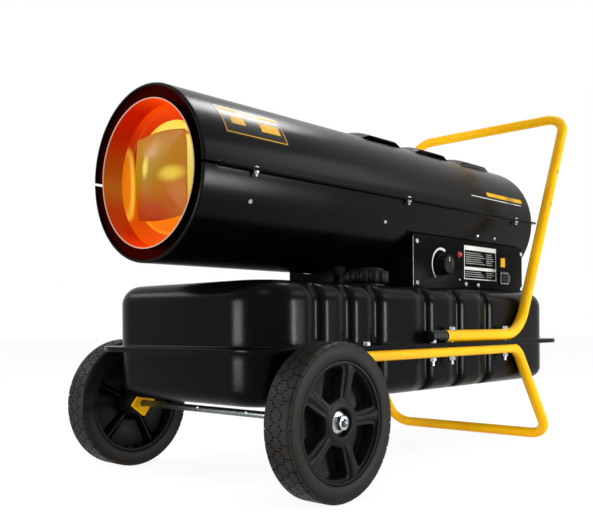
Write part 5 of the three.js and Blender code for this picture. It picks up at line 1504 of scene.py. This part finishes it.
def flange_nut(side, word):
    """Its profiles are written outwards from the strut, and side mirrors them."""
    low, high = span(f"{word}_axle_nut")
    start, end = sorted((abs(low.y), abs(high.y)))
    skirt = [(5.3, start), (13.9, start), (13.9, start + 1.2), (11, start + 2.6), (5.3, start + 2.6)]
    flange = turned("flange", "y", axle, [(radius, side * y) for radius, y in skirt], 48)
    corner = 8.5 / math.cos(math.pi / 6)
    outline = [(corner * math.cos(math.tau * k / 6), corner * math.sin(math.tau * k / 6)) for k in range(6)]
    rings = [[(axle.x + u, side * y, axle.z + v) for u, v in outline] for y in (start + 1.5, end)]
    prism = skinned("prism", rings, caps=True)
    slope = [(0, start), (corner + 1, start), (corner + 1, end - 1.6), (corner - 1.6, end + 0.05),
             (0, end + 0.05)]
    cone = turned("cone", "y", axle, [(radius, side * y) for radius, y in slope], 64)
    nut = combined(prism, cone, "INTERSECT")
    hole = [(0, start - 1), (5.1, start - 1), (5.1, end - 0.7), (5.9, end + 1), (0, end + 1)]
    bore = turned("bore", "y", axle, [(radius, side * y) for radius, y in hole], 32)
    return joined(f"{word}_flange_nut", flange, combined(nut, bore))


dressed(tidied(axle_rod()), drawn_steel, "base", "zinc", "axle")
for side, word in SIDES:
    nut = tidied(flange_nut(side, word))
    dressed(nut, zinc_plate, "base", "zinc", f"{word}_axle_nut")

# %% [markdown]
# ## Filler and control box
# The cap has twelve broad flutes for the hand and a small step on top. The thermostat knob is
# the same kind of shape, laid on its side with fine flutes. Both come from one rule: a profile
# whose radius is pulled in between the lobes.


# %% Fluted cap and knob
def fluted(name, axis, centre, profile, lobes, depth, steps_per_lobe=12):
    """A turned solid whose skirt is fluted. The profile is (radius, along, share of the flutes)."""
    count = lobes * steps_per_lobe
    rings = []
    for radius, along, share in profile:
        ring = []
        for k in range(count):
            angle = math.tau * k / count
            dip = (0.5 - 0.5 * math.cos(angle * lobes)) ** 2
            r = max(0.01, radius - depth * share * dip)
            u, v = r * math.cos(angle), r * math.sin(angle)
            local = {"y": (u, along, v), "z": (u, v, along)}[axis]
            base = {"y": (centre.x, 0, centre.z), "z": (centre.x, centre.y, 0)}[axis]
            ring.append(Vector(local) + Vector(base))
        rings.append(ring)
    return skinned(name, rings, caps=True, crease=45)


def fuel_cap():
    low, high = span("fuel_cap")
    centre = (low + high) / 2
    radius = (high.x - low.x) / 2
    base, top = low.z, high.z
    profile = [(26, base + 11.6, 0), (26, base, 0), (radius - 0.8, base, 1), (radius, base + 0.8, 1)]
    profile += [(radius, top - 6.4, 1), (radius - 0.5, top - 5.4, 1), (radius - 1.8, top - 4.8, 0.8)]
    profile += [(radius - 5, top - 4.6, 0.2), (radius - 6.4, top - 4.5, 0)]
    profile += [(radius - 7.2, top - 3.4, 0), (radius - 8, top - 1.2, 0), (radius - 9.4, top - 0.2, 0)]
    profile += [(radius - 11, top, 0), (2, top, 0)]
    return fluted("fluted_fuel_cap", "z", centre, profile, 12, 3.0)


def neck():
    low, high = span("filler_neck")
    centre = (low + high) / 2
    profile = [(21, low.z), (28, low.z), (28, low.z + 1.4), (26.4, low.z + 2.4), (25, low.z + 4)]
    profile += [(25, high.z - 1), (24, high.z), (22, high.z), (21, high.z - 1)]
    return turned("filler_neck_ring", "z", centre, profile, 64)


def knob():
    low, high = span("thermostat_knob")
    centre = (low + high) / 2
    radius = (high.x - low.x) / 2
    front, back = low.y, span("side_panel")[0].y - 0.3
    profile = [(3.5, high.y, 0), (3.5, back, 0), (radius, back, 0), (radius, back - 2.6, 0)]
    profile += [(radius - 0.8, back - 3.6, 0), (radius - 1.6, back - 4.2, 1)]
    profile += [(radius - 2.2, front + 1.6, 1), (radius - 2.8, front + 0.5, 1)]
    profile += [(radius - 3.8, front, 0.6), (radius - 6.5, front, 0), (radius - 7.2, front + 0.5, 0)]
    profile += [(2, front + 0.8, 0)]
    return fluted("fluted_knob", "y", centre, profile, 24, 1.3, 8)


dressed(fuel_cap(), black_abs, "cap", "black_plastic", "fuel_cap")
dressed(neck(), dark_steel, "base", "zinc", "filler_neck")
dressed(knob(), black_abs, "knob", "black_plastic", "thermostat_knob")
knob_place = middle("thermostat_knob")
knob_front = span("thermostat_knob")[0].y
pointer = block("knob_pointer", (knob_place.x - 0.8, knob_front + 0.02, knob_place.z + 5),
                (knob_place.x + 0.8, knob_front + 1.2, knob_place.z + 15))
dressed(pointer, white_ink, "knob", None)

# %% [markdown]
# The control box is folded sheet under the tube, closed on its left by a screwed panel. The tube
# rests in its top. The bracket in front is a strip bent to a U whose upper edge follows the tube.


# %% Control box, panel and front bracket
def below_tube(thing, low, high):
    """Cuts the tube's round, with a little room, out of a piece between two corners."""
    return drilled(thing, "x", tube_line, tube_radius + 0.3, low.x - 5, high.x + 5, 192)


def control_box():
    low, high = span("control_box")
    box = rounded(block("folded_control_box", low, high), 1.2)
    wall = Vector((sheet, sheet, sheet))
    inside = block("inside", low + wall, high - wall)
    box = combined(box, inside)
    window = block("window", (low.x + 12, low.y - 5, low.z + 12), (high.x - 12, low.y + 5, high.z - 12))
    box = combined(box, window)
    box = drilled(box, "x", middle("cable_gland"), 8.3, high.x - 9, high.x + 9)
    return below_tube(box, low, high)


def panel():
    low, high = span("side_panel")
    plate = rounded(block("screwed_side_panel", low, high), 1.0, 3)
    for place, radius in ((knob_place, 4.5), (middle("indicator_lamp"), 4.0)):
        plate = drilled(plate, "y", place, radius, low.y - 5, high.y + 5)
    switch = middle("switch_housing")
    opening = block("opening", (switch.x - 14.8, low.y - 5, switch.z - 9.8),
                    (switch.x + 14.8, high.y + 5, switch.z + 9.8))
    return below_tube(combined(plate, opening), low, high)


def support():
    low, high = span("front_support")
    strip = 2.5
    bracket = rounded(block("front_bracket", low, (high.x, high.y, high.z + 12)), 1.5)
    inside = block("inside", low + Vector((strip, strip, strip)),
                   (high.x + 9, high.y - strip, high.z + 20))
    return below_tube(combined(bracket, inside), low, high)


dressed(control_box(), panel_coat, "base", "shell_paint", "control_box")
dressed(panel(), panel_coat, "base", "shell_paint", "side_panel")
dressed(support(), panel_coat, "base", "tank_paint", "front_support")

# %% [markdown]
# On the panel: a red lamp with a small lens, a rocker switch in a bezel with a grey ring round the rocker,
# painted as the highlight on the rim of its cover, and pan-head screws. Two more screws below hold the
# boards inside.


# %% Lamp, switch and panel screws
panel_face = span("side_panel")[0].y
lamp_place = middle("indicator_lamp")
switch_low, switch_high = span("switch_housing")
switch_middle = middle("switch_housing")


def lamp():
    face = panel_face - 0.3
    profile = [(0, panel_face + 14), (3.5, panel_face + 14), (3.5, face), (5.2, face), (5.2, face - 1.0)]
    profile += [(4.6, face - 1.6), (4.2, face - 1.6)]
    dome = [(4.2 * math.cos(a), face - 1.6 - 3.8 * math.sin(a)) for a in
            [math.radians(15 * step) for step in range(1, 7)]]
    return turned("domed_lamp", "y", lamp_place, profile + dome, 40)


def switch_frame():
    front = switch_low.y
    rim = (switch_high.x, panel_face - 0.3, switch_high.z)
    bezel = rounded(block("switch_frame", switch_low, rim), 1.0)
    body = block("body", (switch_low.x + 3.5, panel_face - 1, switch_low.z + 3.5),
                 (switch_high.x - 3.5, switch_high.y, switch_high.z - 3.5))
    well = block("well", (switch_low.x + 4.2, front - 5, switch_low.z + 4.2),
                 (switch_high.x - 4.2, panel_face + 12, switch_high.z - 4.2))
    return combined(combined(bezel, body, "UNION"), well)


def rocker():
    """A shallow V seen from above, tipped so that its rear end stands out."""
    pivot = Vector((switch_middle.x, panel_face - 0.5, switch_middle.z))
    half = 12.0
    dip = [(-half, -3.3), (-half * 0.5, -2.6), (0, -2.3), (half * 0.5, -2.6), (half, -3.3)]
    outline = dip + [(half, 1), (half - 4, 7), (4 - half, 7), (-half, 1)]
    turn = math.radians(-10)
    rings = []
    for z in (-8.2, 8.2):
        rings.append([(pivot.x + u * math.cos(turn) - v * math.sin(turn),
                       pivot.y + u * math.sin(turn) + v * math.cos(turn), pivot.z + z) for u, v in outline])
    return rounded(skinned("tipped_rocker", rings, caps=True), 0.5)


def painted_highlight_switch_ring():
    """A thin D-shaped ring on the bezel, with its straight side to the front. It is painted highlight: grey
    ink where the rim of the switch's cover catches the light.
    """
    y0, y1 = switch_low.y - 0.02, switch_low.y + 0.6
    inner = [(-14.2, -9.2), (9, -9.2)] + arc((8.6, 0), 9.2, -80, 80, 12) + [(9, 9.2), (-14.2, 9.2)]
    grown_out = [(u * 1.12, v * 1.16) for u, v in inner]
    rings = []
    for outline, y in ((inner, y0), (grown_out, y0), (grown_out, y1), (inner, y1)):
        rings.append([(switch_middle.x + u, y, switch_middle.z + v) for u, v in outline])
    return skinned("painted_highlight_switch_ring", rings, loop=True)


dressed(lamp(), lens_red, "base", "lamp_lens", "indicator_lamp")
dressed(switch_frame(), black_abs, "base", "black_plastic", "switch_housing")
dressed(rocker(), black_abs, "rocker", "black_plastic", "switch_rocker")
# The grey ring is a painted highlight on the rim of the switch's cover.
dressed(painted_highlight_switch_ring(), grey_ink, "base", None)

PANEL_SCREWS = [(11, 357), (11, 288), (374, 357), (374, 288), (165, 290.5), (208, 290)]
panel_heads = [((x, panel_face + 0.2, z), (0, -1, 0)) for x, z in PANEL_SCREWS]
panel_sizes = {"Head radius": 4.6, "Head height": 2.6}
dressed(fasteners("panel_screws", pan_screws, panel_heads, panel_sizes), zinc_plate, "base", "zinc")

# %% [markdown]
# ## Printed places
# The real heater carries a dial print, a data plate and a sticker. Here they hold plain bands and
# blocks only, without a word or a sign. Ink and film are thin solids that lie on the sheet: flat
# ones on the panel, and curved ones that follow the tube.


# %% Prints on the panel and on the tube
FILM = 0.25


def flat_print(name, ink, *areas):
    """Thin rectangles on the panel, each (x0, z0, x1, z1, lift)."""
    pieces = []
    for x0, z0, x1, z1, lift in areas:
        face = panel_face - lift
        pieces.append(block("print", (x0, face - FILM, z0), (x1, face + 0.05, z1)))
    return dressed(tidied(joined(name, *pieces)), ink, "base", None)


def curved_print(name, ink, *areas):
    """Thin patches on the near side of the upper shell, each (x0, x1, angle0, angle1, lift)."""
    pieces = []
    for x0, x1, low, high, lift in areas:
        steps = max(2, round((high - low) / 1.5))
        turns = [math.radians(low + (high - low) * step / steps) for step in range(steps + 1)]
        ring = [(tube_radius + lift - 0.05, turn) for turn in turns]
        ring += [(tube_radius + lift + FILM, turn) for turn in reversed(turns)]
        rings = [[(x, -r * math.cos(a), tube_z + r * math.sin(a)) for r, a in ring] for x in (x0, x1)]
        pieces.append(skinned("print", rings, caps=True))
    return dressed(tidied(joined(name, *pieces)), ink, "base", None)


def dial_arc():
    """A tapered arc round the left of the knob: broad at the top, thin at the bottom."""
    rings = []
    for step in range(41):
        angle = math.radians(62 + 172 * step / 40)
        half = 2.3 - 1.7 * step / 40
        outline = []
        for radius, y in ((27.5 - half, 0), (27.5 + half, 0), (27.5 + half, FILM), (27.5 - half, FILM)):
            outline.append((knob_place.x + radius * math.cos(angle), panel_face + 0.05 - y,
                            knob_place.z + radius * math.sin(angle)))
        rings.append(outline)
    return skinned("dial_arc", rings, caps=True)


dressed(dial_arc(), white_ink, "base", None)
PLATE = (159, 300, 274, 360.5)


def plate_frame(width):
    x0, z0, x1, z1 = PLATE
    return [(x0, z0, x1, z0 + width, 0), (x0, z1 - width, x1, z1, 0),
            (x0, z0 + width, x0 + width, z1 - width, 0), (x1 - width, z0 + width, x1, z1 - width, 0)]


row_areas = []
for index, z in enumerate([347, 343.2, 339.4, 335.6, 331.8, 328, 312.6, 308.8, 305]):
    long, short = 54 + 7 * (index % 3), 20 + 3 * (index % 4)
    row_areas.append((PLATE[0] + 5, z, PLATE[0] + 5 + long, z + 1.5, 0))
    row_areas.append((PLATE[0] + 78, z, PLATE[0] + 78 + short, z + 1.5, 0))
flat_print("plate_frame", white_ink, *plate_frame(1.6), (PLATE[0] + 1.6, 352.5, PLATE[2] - 1.6, 358.9, 0),
           (PLATE[0] + 1.6, 317, PLATE[2] - 1.6, 322.4, 0))
flat_print("plate_rows", grey_ink, *row_areas)
flat_print("dial_dots", white_ink, (PLATE[0] - 17, 297, PLATE[0] - 14.4, 299.6, 0))
panel_low = span("side_panel")[0]
# A thin plated strip on the panel's front edge: a painted highlight, the light line that edge catches.
flat_print("painted_highlight_panel_edge", zinc_plate, (panel_low.x, panel_low.z + 4, panel_low.x + 0.9, 364, -0.2))
flat_print("plain_patch", yellow_ink, (292, 328, 309, 345, 0))

STICKER = (outlet_x + 45, outlet_x + 161, 21.5, 46.0)
s0, s1, a0, a1 = STICKER
curved_print("sticker_film", label_film, (s0, s1, a0, a1, 0))
curved_print("sticker_yellow", yellow_ink, (s0 + 2, s0 + 36, a1 - 4.4, a1 - 1.2, 0.22),
             (s0 + 78, s1 - 2, a1 - 4.4, a1 - 1.2, 0.22), (s0 + 36, s0 + 78, a1 - 1.9, a1 - 1.2, 0.22),
             (s0 + 36, s0 + 78, a1 - 4.4, a1 - 3.7, 0.22), (s0 + 2, s1 - 2, a0 + 1.2, a0 + 1.9, 0.22),
             (s0 + 2, s0 + 3.2, a0 + 1.9, a1 - 5.4, 0.22), (s1 - 3.2, s1 - 2, a0 + 1.9, a1 - 5.4, 0.22),
             (s0 + 18, s0 + 42, a0 + 9, a0 + 15.5, 0.22), (s0 + 70, s1 - 10, a0 + 7.5, a0 + 15.5, 0.22))
curved_print("tube_stripe", yellow_ink, (outlet_x + 698, outlet_x + 835, 18.6, 22.6, 0))
curved_print("tube_line", white_ink, (outlet_x + 638, outlet_x + 827, 15.6, 16.4, 0))

# %% [markdown]
# ## Rear end
# Through the wire guard one sees the motor, the air pump and the fan. Guard and fan repeat about
# the tube's middle line, so two trees make them: one copies a blade round a hub, the other sets
# rings and spokes of wire.


# %% Fan and guard trees
def repeat_round_tree(finish):
    tree, one, size = size_tree("repeat_round_x", {"Copies": 6, "Start angle": 0.0})
    points = put(tree, "GeometryNodeMeshLine", {"Count": size["Copies"], "Offset": (0, 0, 0)})
    index = put(tree, "GeometryNodeInputIndex")
    share = put(tree, "ShaderNodeMath", {0: index, 1: size["Copies"]}, operation="DIVIDE")
    turn = put(tree, "ShaderNodeMath", {0: share, 1: math.tau}, operation="MULTIPLY")
    about = put(tree, "ShaderNodeCombineXYZ", {0: turn})
    copies = put(tree, "GeometryNodeInstanceOnPoints",
                 {"Points": points, "Instance": one, "Rotation": about})
    close_tree(tree, copies, finish)
    return tree


def wire_guard_tree(finish):
    sizes = {"Rings": 4, "Spokes": 6, "Ring step": 22.2, "Wire radius": 1.5, "Outer radius": 111.0}
    tree, rim, size = size_tree("wire_guard", sizes)
    index = put(tree, "GeometryNodeInputIndex")
    order = put(tree, "ShaderNodeMath", {0: index, 1: 1.0}, operation="ADD")
    reach = put(tree, "ShaderNodeMath", {0: order, 1: size["Ring step"]}, operation="MULTIPLY")
    circle = put(tree, "GeometryNodeCurvePrimitiveCircle", {"Resolution": 72, "Radius": 1.0})
    points = put(tree, "GeometryNodeMeshLine", {"Count": size["Rings"], "Offset": (0, 0, 0)})
    rings = put(tree, "GeometryNodeInstanceOnPoints",
                {"Points": points, "Instance": circle, "Scale": reach})
    inner = put(tree, "ShaderNodeCombineXYZ", {0: size["Ring step"]})
    outer = put(tree, "ShaderNodeCombineXYZ", {0: size["Outer radius"]})
    line = put(tree, "GeometryNodeCurvePrimitiveLine", {"Start": inner, "End": outer})
    half = put(tree, "ShaderNodeMath", {0: index, 1: 0.5}, operation="ADD")
    share = put(tree, "ShaderNodeMath", {0: half, 1: size["Spokes"]}, operation="DIVIDE")
    turn = put(tree, "ShaderNodeMath", {0: share, 1: math.tau}, operation="MULTIPLY")
    about = put(tree, "ShaderNodeCombineXYZ", {2: turn})
    starts = put(tree, "GeometryNodeMeshLine", {"Count": size["Spokes"], "Offset": (0, 0, 0)})
    spokes = put(tree, "GeometryNodeInstanceOnPoints",
                 {"Points": starts, "Instance": line, "Rotation": about})
    wires = put(tree, "GeometryNodeJoinGeometry", {0: [rings, spokes]})
    loose = put(tree, "GeometryNodeRealizeInstances", {0: wires})
    section = put(tree, "GeometryNodeCurvePrimitiveCircle",
                  {"Resolution": 10, "Radius": size["Wire radius"]})
    solid = put(tree, "GeometryNodeCurveToMesh", {0: loose, 1: section, "Fill Caps": True})
    turned_up = put(tree, "GeometryNodeTransform", {0: solid, "Rotation": (0, math.radians(90), 0)})
    close_tree(tree, put(tree, "GeometryNodeJoinGeometry", {0: [turned_up, rim]}), finish)
    return tree


# %% [markdown]
# The guard's rim is turned, and its tree adds the wires. A fan blade is a skin over cambered
# sections that flatten towards the tip, and its tree copies it round the hub.


# %% Guard and fan
def guard():
    low, high = span("rear_guard")
    outer = (high.y - low.y) / 2
    half = (high.x - low.x) / 2
    profile = [(outer - 4, -half + 1), (outer - 3, -half), (outer - 1, -half), (outer, -half + 1)]
    profile += [(radius, -along) for radius, along in reversed(profile)]
    rim = turned("guard", "x", (0, 0, 0), profile, 96)
    wires = grown("wire_guard", wire_guard_tree(zinc_plate), rim, {"Outer radius": outer - 2})
    return moved(wires, ((low.x + high.x) / 2, 0, tube_z))


def fan():
    low, high = span("fan")
    centre_x = (low.x + high.x) / 2
    hub_radius, tip_radius, steps = 24, 102.5, 12
    rings = []
    for step in range(steps + 1):
        share = step / steps
        radius = hub_radius - 2 + (tip_radius - hub_radius + 2) * share
        chord = 13 + 9 * math.sin(share * math.pi * 0.62)
        pitch = math.radians(46 - 14 * share)
        upper, lower = [], []
        for k in range(11):
            along = -1 + 2 * k / 10
            camber = 2.4 * (1 - along * along)
            thick = 0.9 * math.sqrt(max(0.02, 1 - along ** 4))
            for row, offset in ((upper, camber + thick), (lower, camber - thick)):
                u = chord * along
                row.append((u * math.sin(pitch) + offset * math.cos(pitch),
                            u * math.cos(pitch) - offset * math.sin(pitch), radius))
        rings.append(upper + lower[::-1])
    blade = skinned("fan", rings, caps=True, crease=50)
    blades = grown("blades", repeat_round_tree(cast_aluminium), blade, {"Copies": 6}, crease=50)
    half = (high.x - low.x) / 2
    profile = [(5.3, -half), (18, -half), (22, -half + 1.5), (24, -half + 5), (24, half - 1), (23, half)]
    hub = turned("hub", "x", (0, 0, 0), profile + [(8, half), (8, half - 3), (5.3, half - 3)], 48)
    whole = joined("bladed_fan", hub, blades)
    return tidied(moved(whole, (centre_x, 0, tube_z)), 45)


dressed(guard(), zinc_plate, "base", "zinc", "rear_guard")
dressed(fan(), cast_aluminium, "fan_rotor", "cast_metal", "fan")

# %% [markdown]
# The motor has rolled end bells and a ring of cooling slots. The pump behind it is a cast disc
# with four screws and a moulded cover that holds the air filter.


# %% Motor, pump and cover
def motor():
    low, high = span("fan_motor")
    radius = (high.y - low.y) / 2
    profile = [(5.5, low.x), (radius - 16, low.x), (radius - 13, low.x + 1), (radius - 5, low.x + 8)]
    profile += [(radius - 1.5, low.x + 13), (radius - 0.6, low.x + 18), (radius - 0.6, low.x + 22)]
    profile += [(radius, low.x + 22.6), (radius, high.x - 22.6), (radius - 0.6, high.x - 22)]
    profile += [(radius - 0.6, high.x - 12), (radius - 2, high.x - 5), (radius - 6, high.x), (5.5, high.x)]
    body = turned("slotted_motor", "x", (0, 0, 0), profile, 96)
    slots = []
    for index in range(12):
        slot = rounded(block("slot", (high.x - 19, -2.2, radius - 3), (high.x - 8, 2.2, radius + 3)), 1.2)
        slot.data.transform(Matrix.Rotation(math.tau * (index + 0.5) / 12, 4, "X"))
        slots.append(slot)
    body = combined(body, joined("slots", *slots))
    return moved(body, tube_line)


def pump_cover():
    low, high = span("pump_cover")
    radius = (high.y - low.y) / 2
    face = high.x - 6
    profile = [(0, low.x), (radius, low.x), (radius, low.x + 3), (radius - 1, low.x + 4)]
    profile += [(radius - 1.4, face - 7), (radius - 3, face - 2.5), (radius - 7, face), (36, face)]
    profile += [(35, face - 1.2), (33, face - 1.2), (32, face), (17, face), (14, face + 1)]
    profile += [(13.4, face + 5), (12.4, high.x), (0, high.x)]
    return turned("filter_cover", "x", tube_line, profile, 96)


dressed(motor(), motor_enamel, "base", "motor_paint", "fan_motor")
dressed(pump_cover(), black_abs, "base", "black_plastic", "pump_cover")

# %% [markdown]
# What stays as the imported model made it, inside the tube and the box, still gets the finish of
# what it is: cast, plated, glazed or soldered.

# %% Finishes of the inner parts
KEPT = {
    zinc_plate: ["motor_shaft", "motor_bracket"],
    cast_aluminium: ["burner_head", "pump_body", "pump_rotor", "ignition_transformer"],
    black_abs: ["photocell", "thermostat_body", "cable_gland"],
    soft_pvc: ["air_line"],
    glazed_ceramic: ["igniter"],
    circuit_laminate: ["circuit_board"],
    brushed_brass: ["spray_nozzle", "fuel_pickup", "fuel_line"],
}
for finish, names in KEPT.items():
    for name in names:
        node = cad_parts[name]
        node.data.materials.clear()
        node.data.materials.append(finish)
print("kept:", sum(len(names) for names in KEPT.values()))

# %% [markdown]
# ## Studio
# A pale floor, a white surround and six soft lamps, as for a catalogue picture. Each lamp draws
# one highlight: two on the side of the tank and the tube, one on the tank's front corner, one on
# the far side, one along the top of the tube, and the key lamp shapes the yellow frame.

# %% Floor, surround and lamps
floor_mesh = bpy.data.meshes.new("studio_floor")
floor_mesh.from_pydata([(-12, -12, 0), (12, -12, 0), (12, 12, 0), (-12, 12, 0)], [], [(0, 1, 2, 3)])
in_scene("studio_floor", floor_mesh)


def in_view(tree):
    """1 for rays that the eye sees, straight, mirrored or through glass, and 0 for the others."""
    path = put(tree, "ShaderNodeLightPath")
    seen = put(tree, "ShaderNodeMath",
               {0: path.outputs["Is Camera Ray"], 1: path.outputs["Is Glossy Ray"]},
               operation="MAXIMUM")
    return put(tree, "ShaderNodeMath", {0: seen, 1: path.outputs["Is Transmission Ray"]},
               operation="MAXIMUM")


floor_paint = bpy.data.materials.new("white_studio_floor")
tree = empty_tree(floor_paint)
matt = put(tree, "ShaderNodeBsdfDiffuse", {"Color": colour("ffffff")})
lit = put(tree, "ShaderNodeEmission", {"Color": colour("ffffff"), "Strength": 1.13})
share = put(tree, "ShaderNodeMath", {0: in_view(tree), 1: 0.8}, operation="MULTIPLY")
mix = put(tree, "ShaderNodeMixShader", {0: share, 1: matt, 2: lit})
put(tree, "ShaderNodeOutputMaterial", {0: mix})
floor_mesh.materials.append(floor_paint)

surround = bpy.data.worlds.new("white_surround")
bpy.context.scene.world = surround
tree = empty_tree(surround)
lift = put(tree, "ShaderNodeMapRange", {0: in_view(tree), 3: 0.34, 4: 1.0})
shade = put(tree, "ShaderNodeBackground", {"Color": colour("ffffff"), "Strength": lift})
put(tree, "ShaderNodeOutputWorld", {0: shade})


def soft_lamp(name, place, target, size, power):
    light = bpy.data.lights.new(name, "AREA")
    light.shape = "RECTANGLE"
    light.size, light.size_y = size
    light.energy = power
    soft_light = in_scene(name, light)
    soft_light.location = place
    soft_light.rotation_euler = (Vector(target) - Vector(place)).to_track_quat("-Z", "Y").to_euler()


soft_lamp("low_side_lamp", (0.86, -1.72, 0.26), (-0.35, -0.1, 0.3), (0.2, 0.4), 23)
soft_lamp("high_side_lamp", (1.5, -1.5, 1.5), (0, -0.1, 0.3), (0.9, 0.7), 7)
soft_lamp("front_lamp", (-2.3, 0.4, 0.22), (-0.4, -0.1, 0.22), (0.8, 0.34), 42)
soft_lamp("far_side_lamp", (-1.25, 1.75, 1.4), (-0.4, 0, 0.25), (1.0, 0.35), 9)
soft_lamp("overhead_lamp", (0.92, 0.22, 2.0), (-0.35, -0.05, 0.45), (0.5, 0.5), 14)
soft_lamp("key_lamp", (-1.5, -1.6, 2.2), (0, 0, 0.2), (0.9, 0.9), 11)

# %% [markdown]
# The view settings stay plain.

# %% Finish
bpy.context.scene.view_settings.view_transform = "Standard"
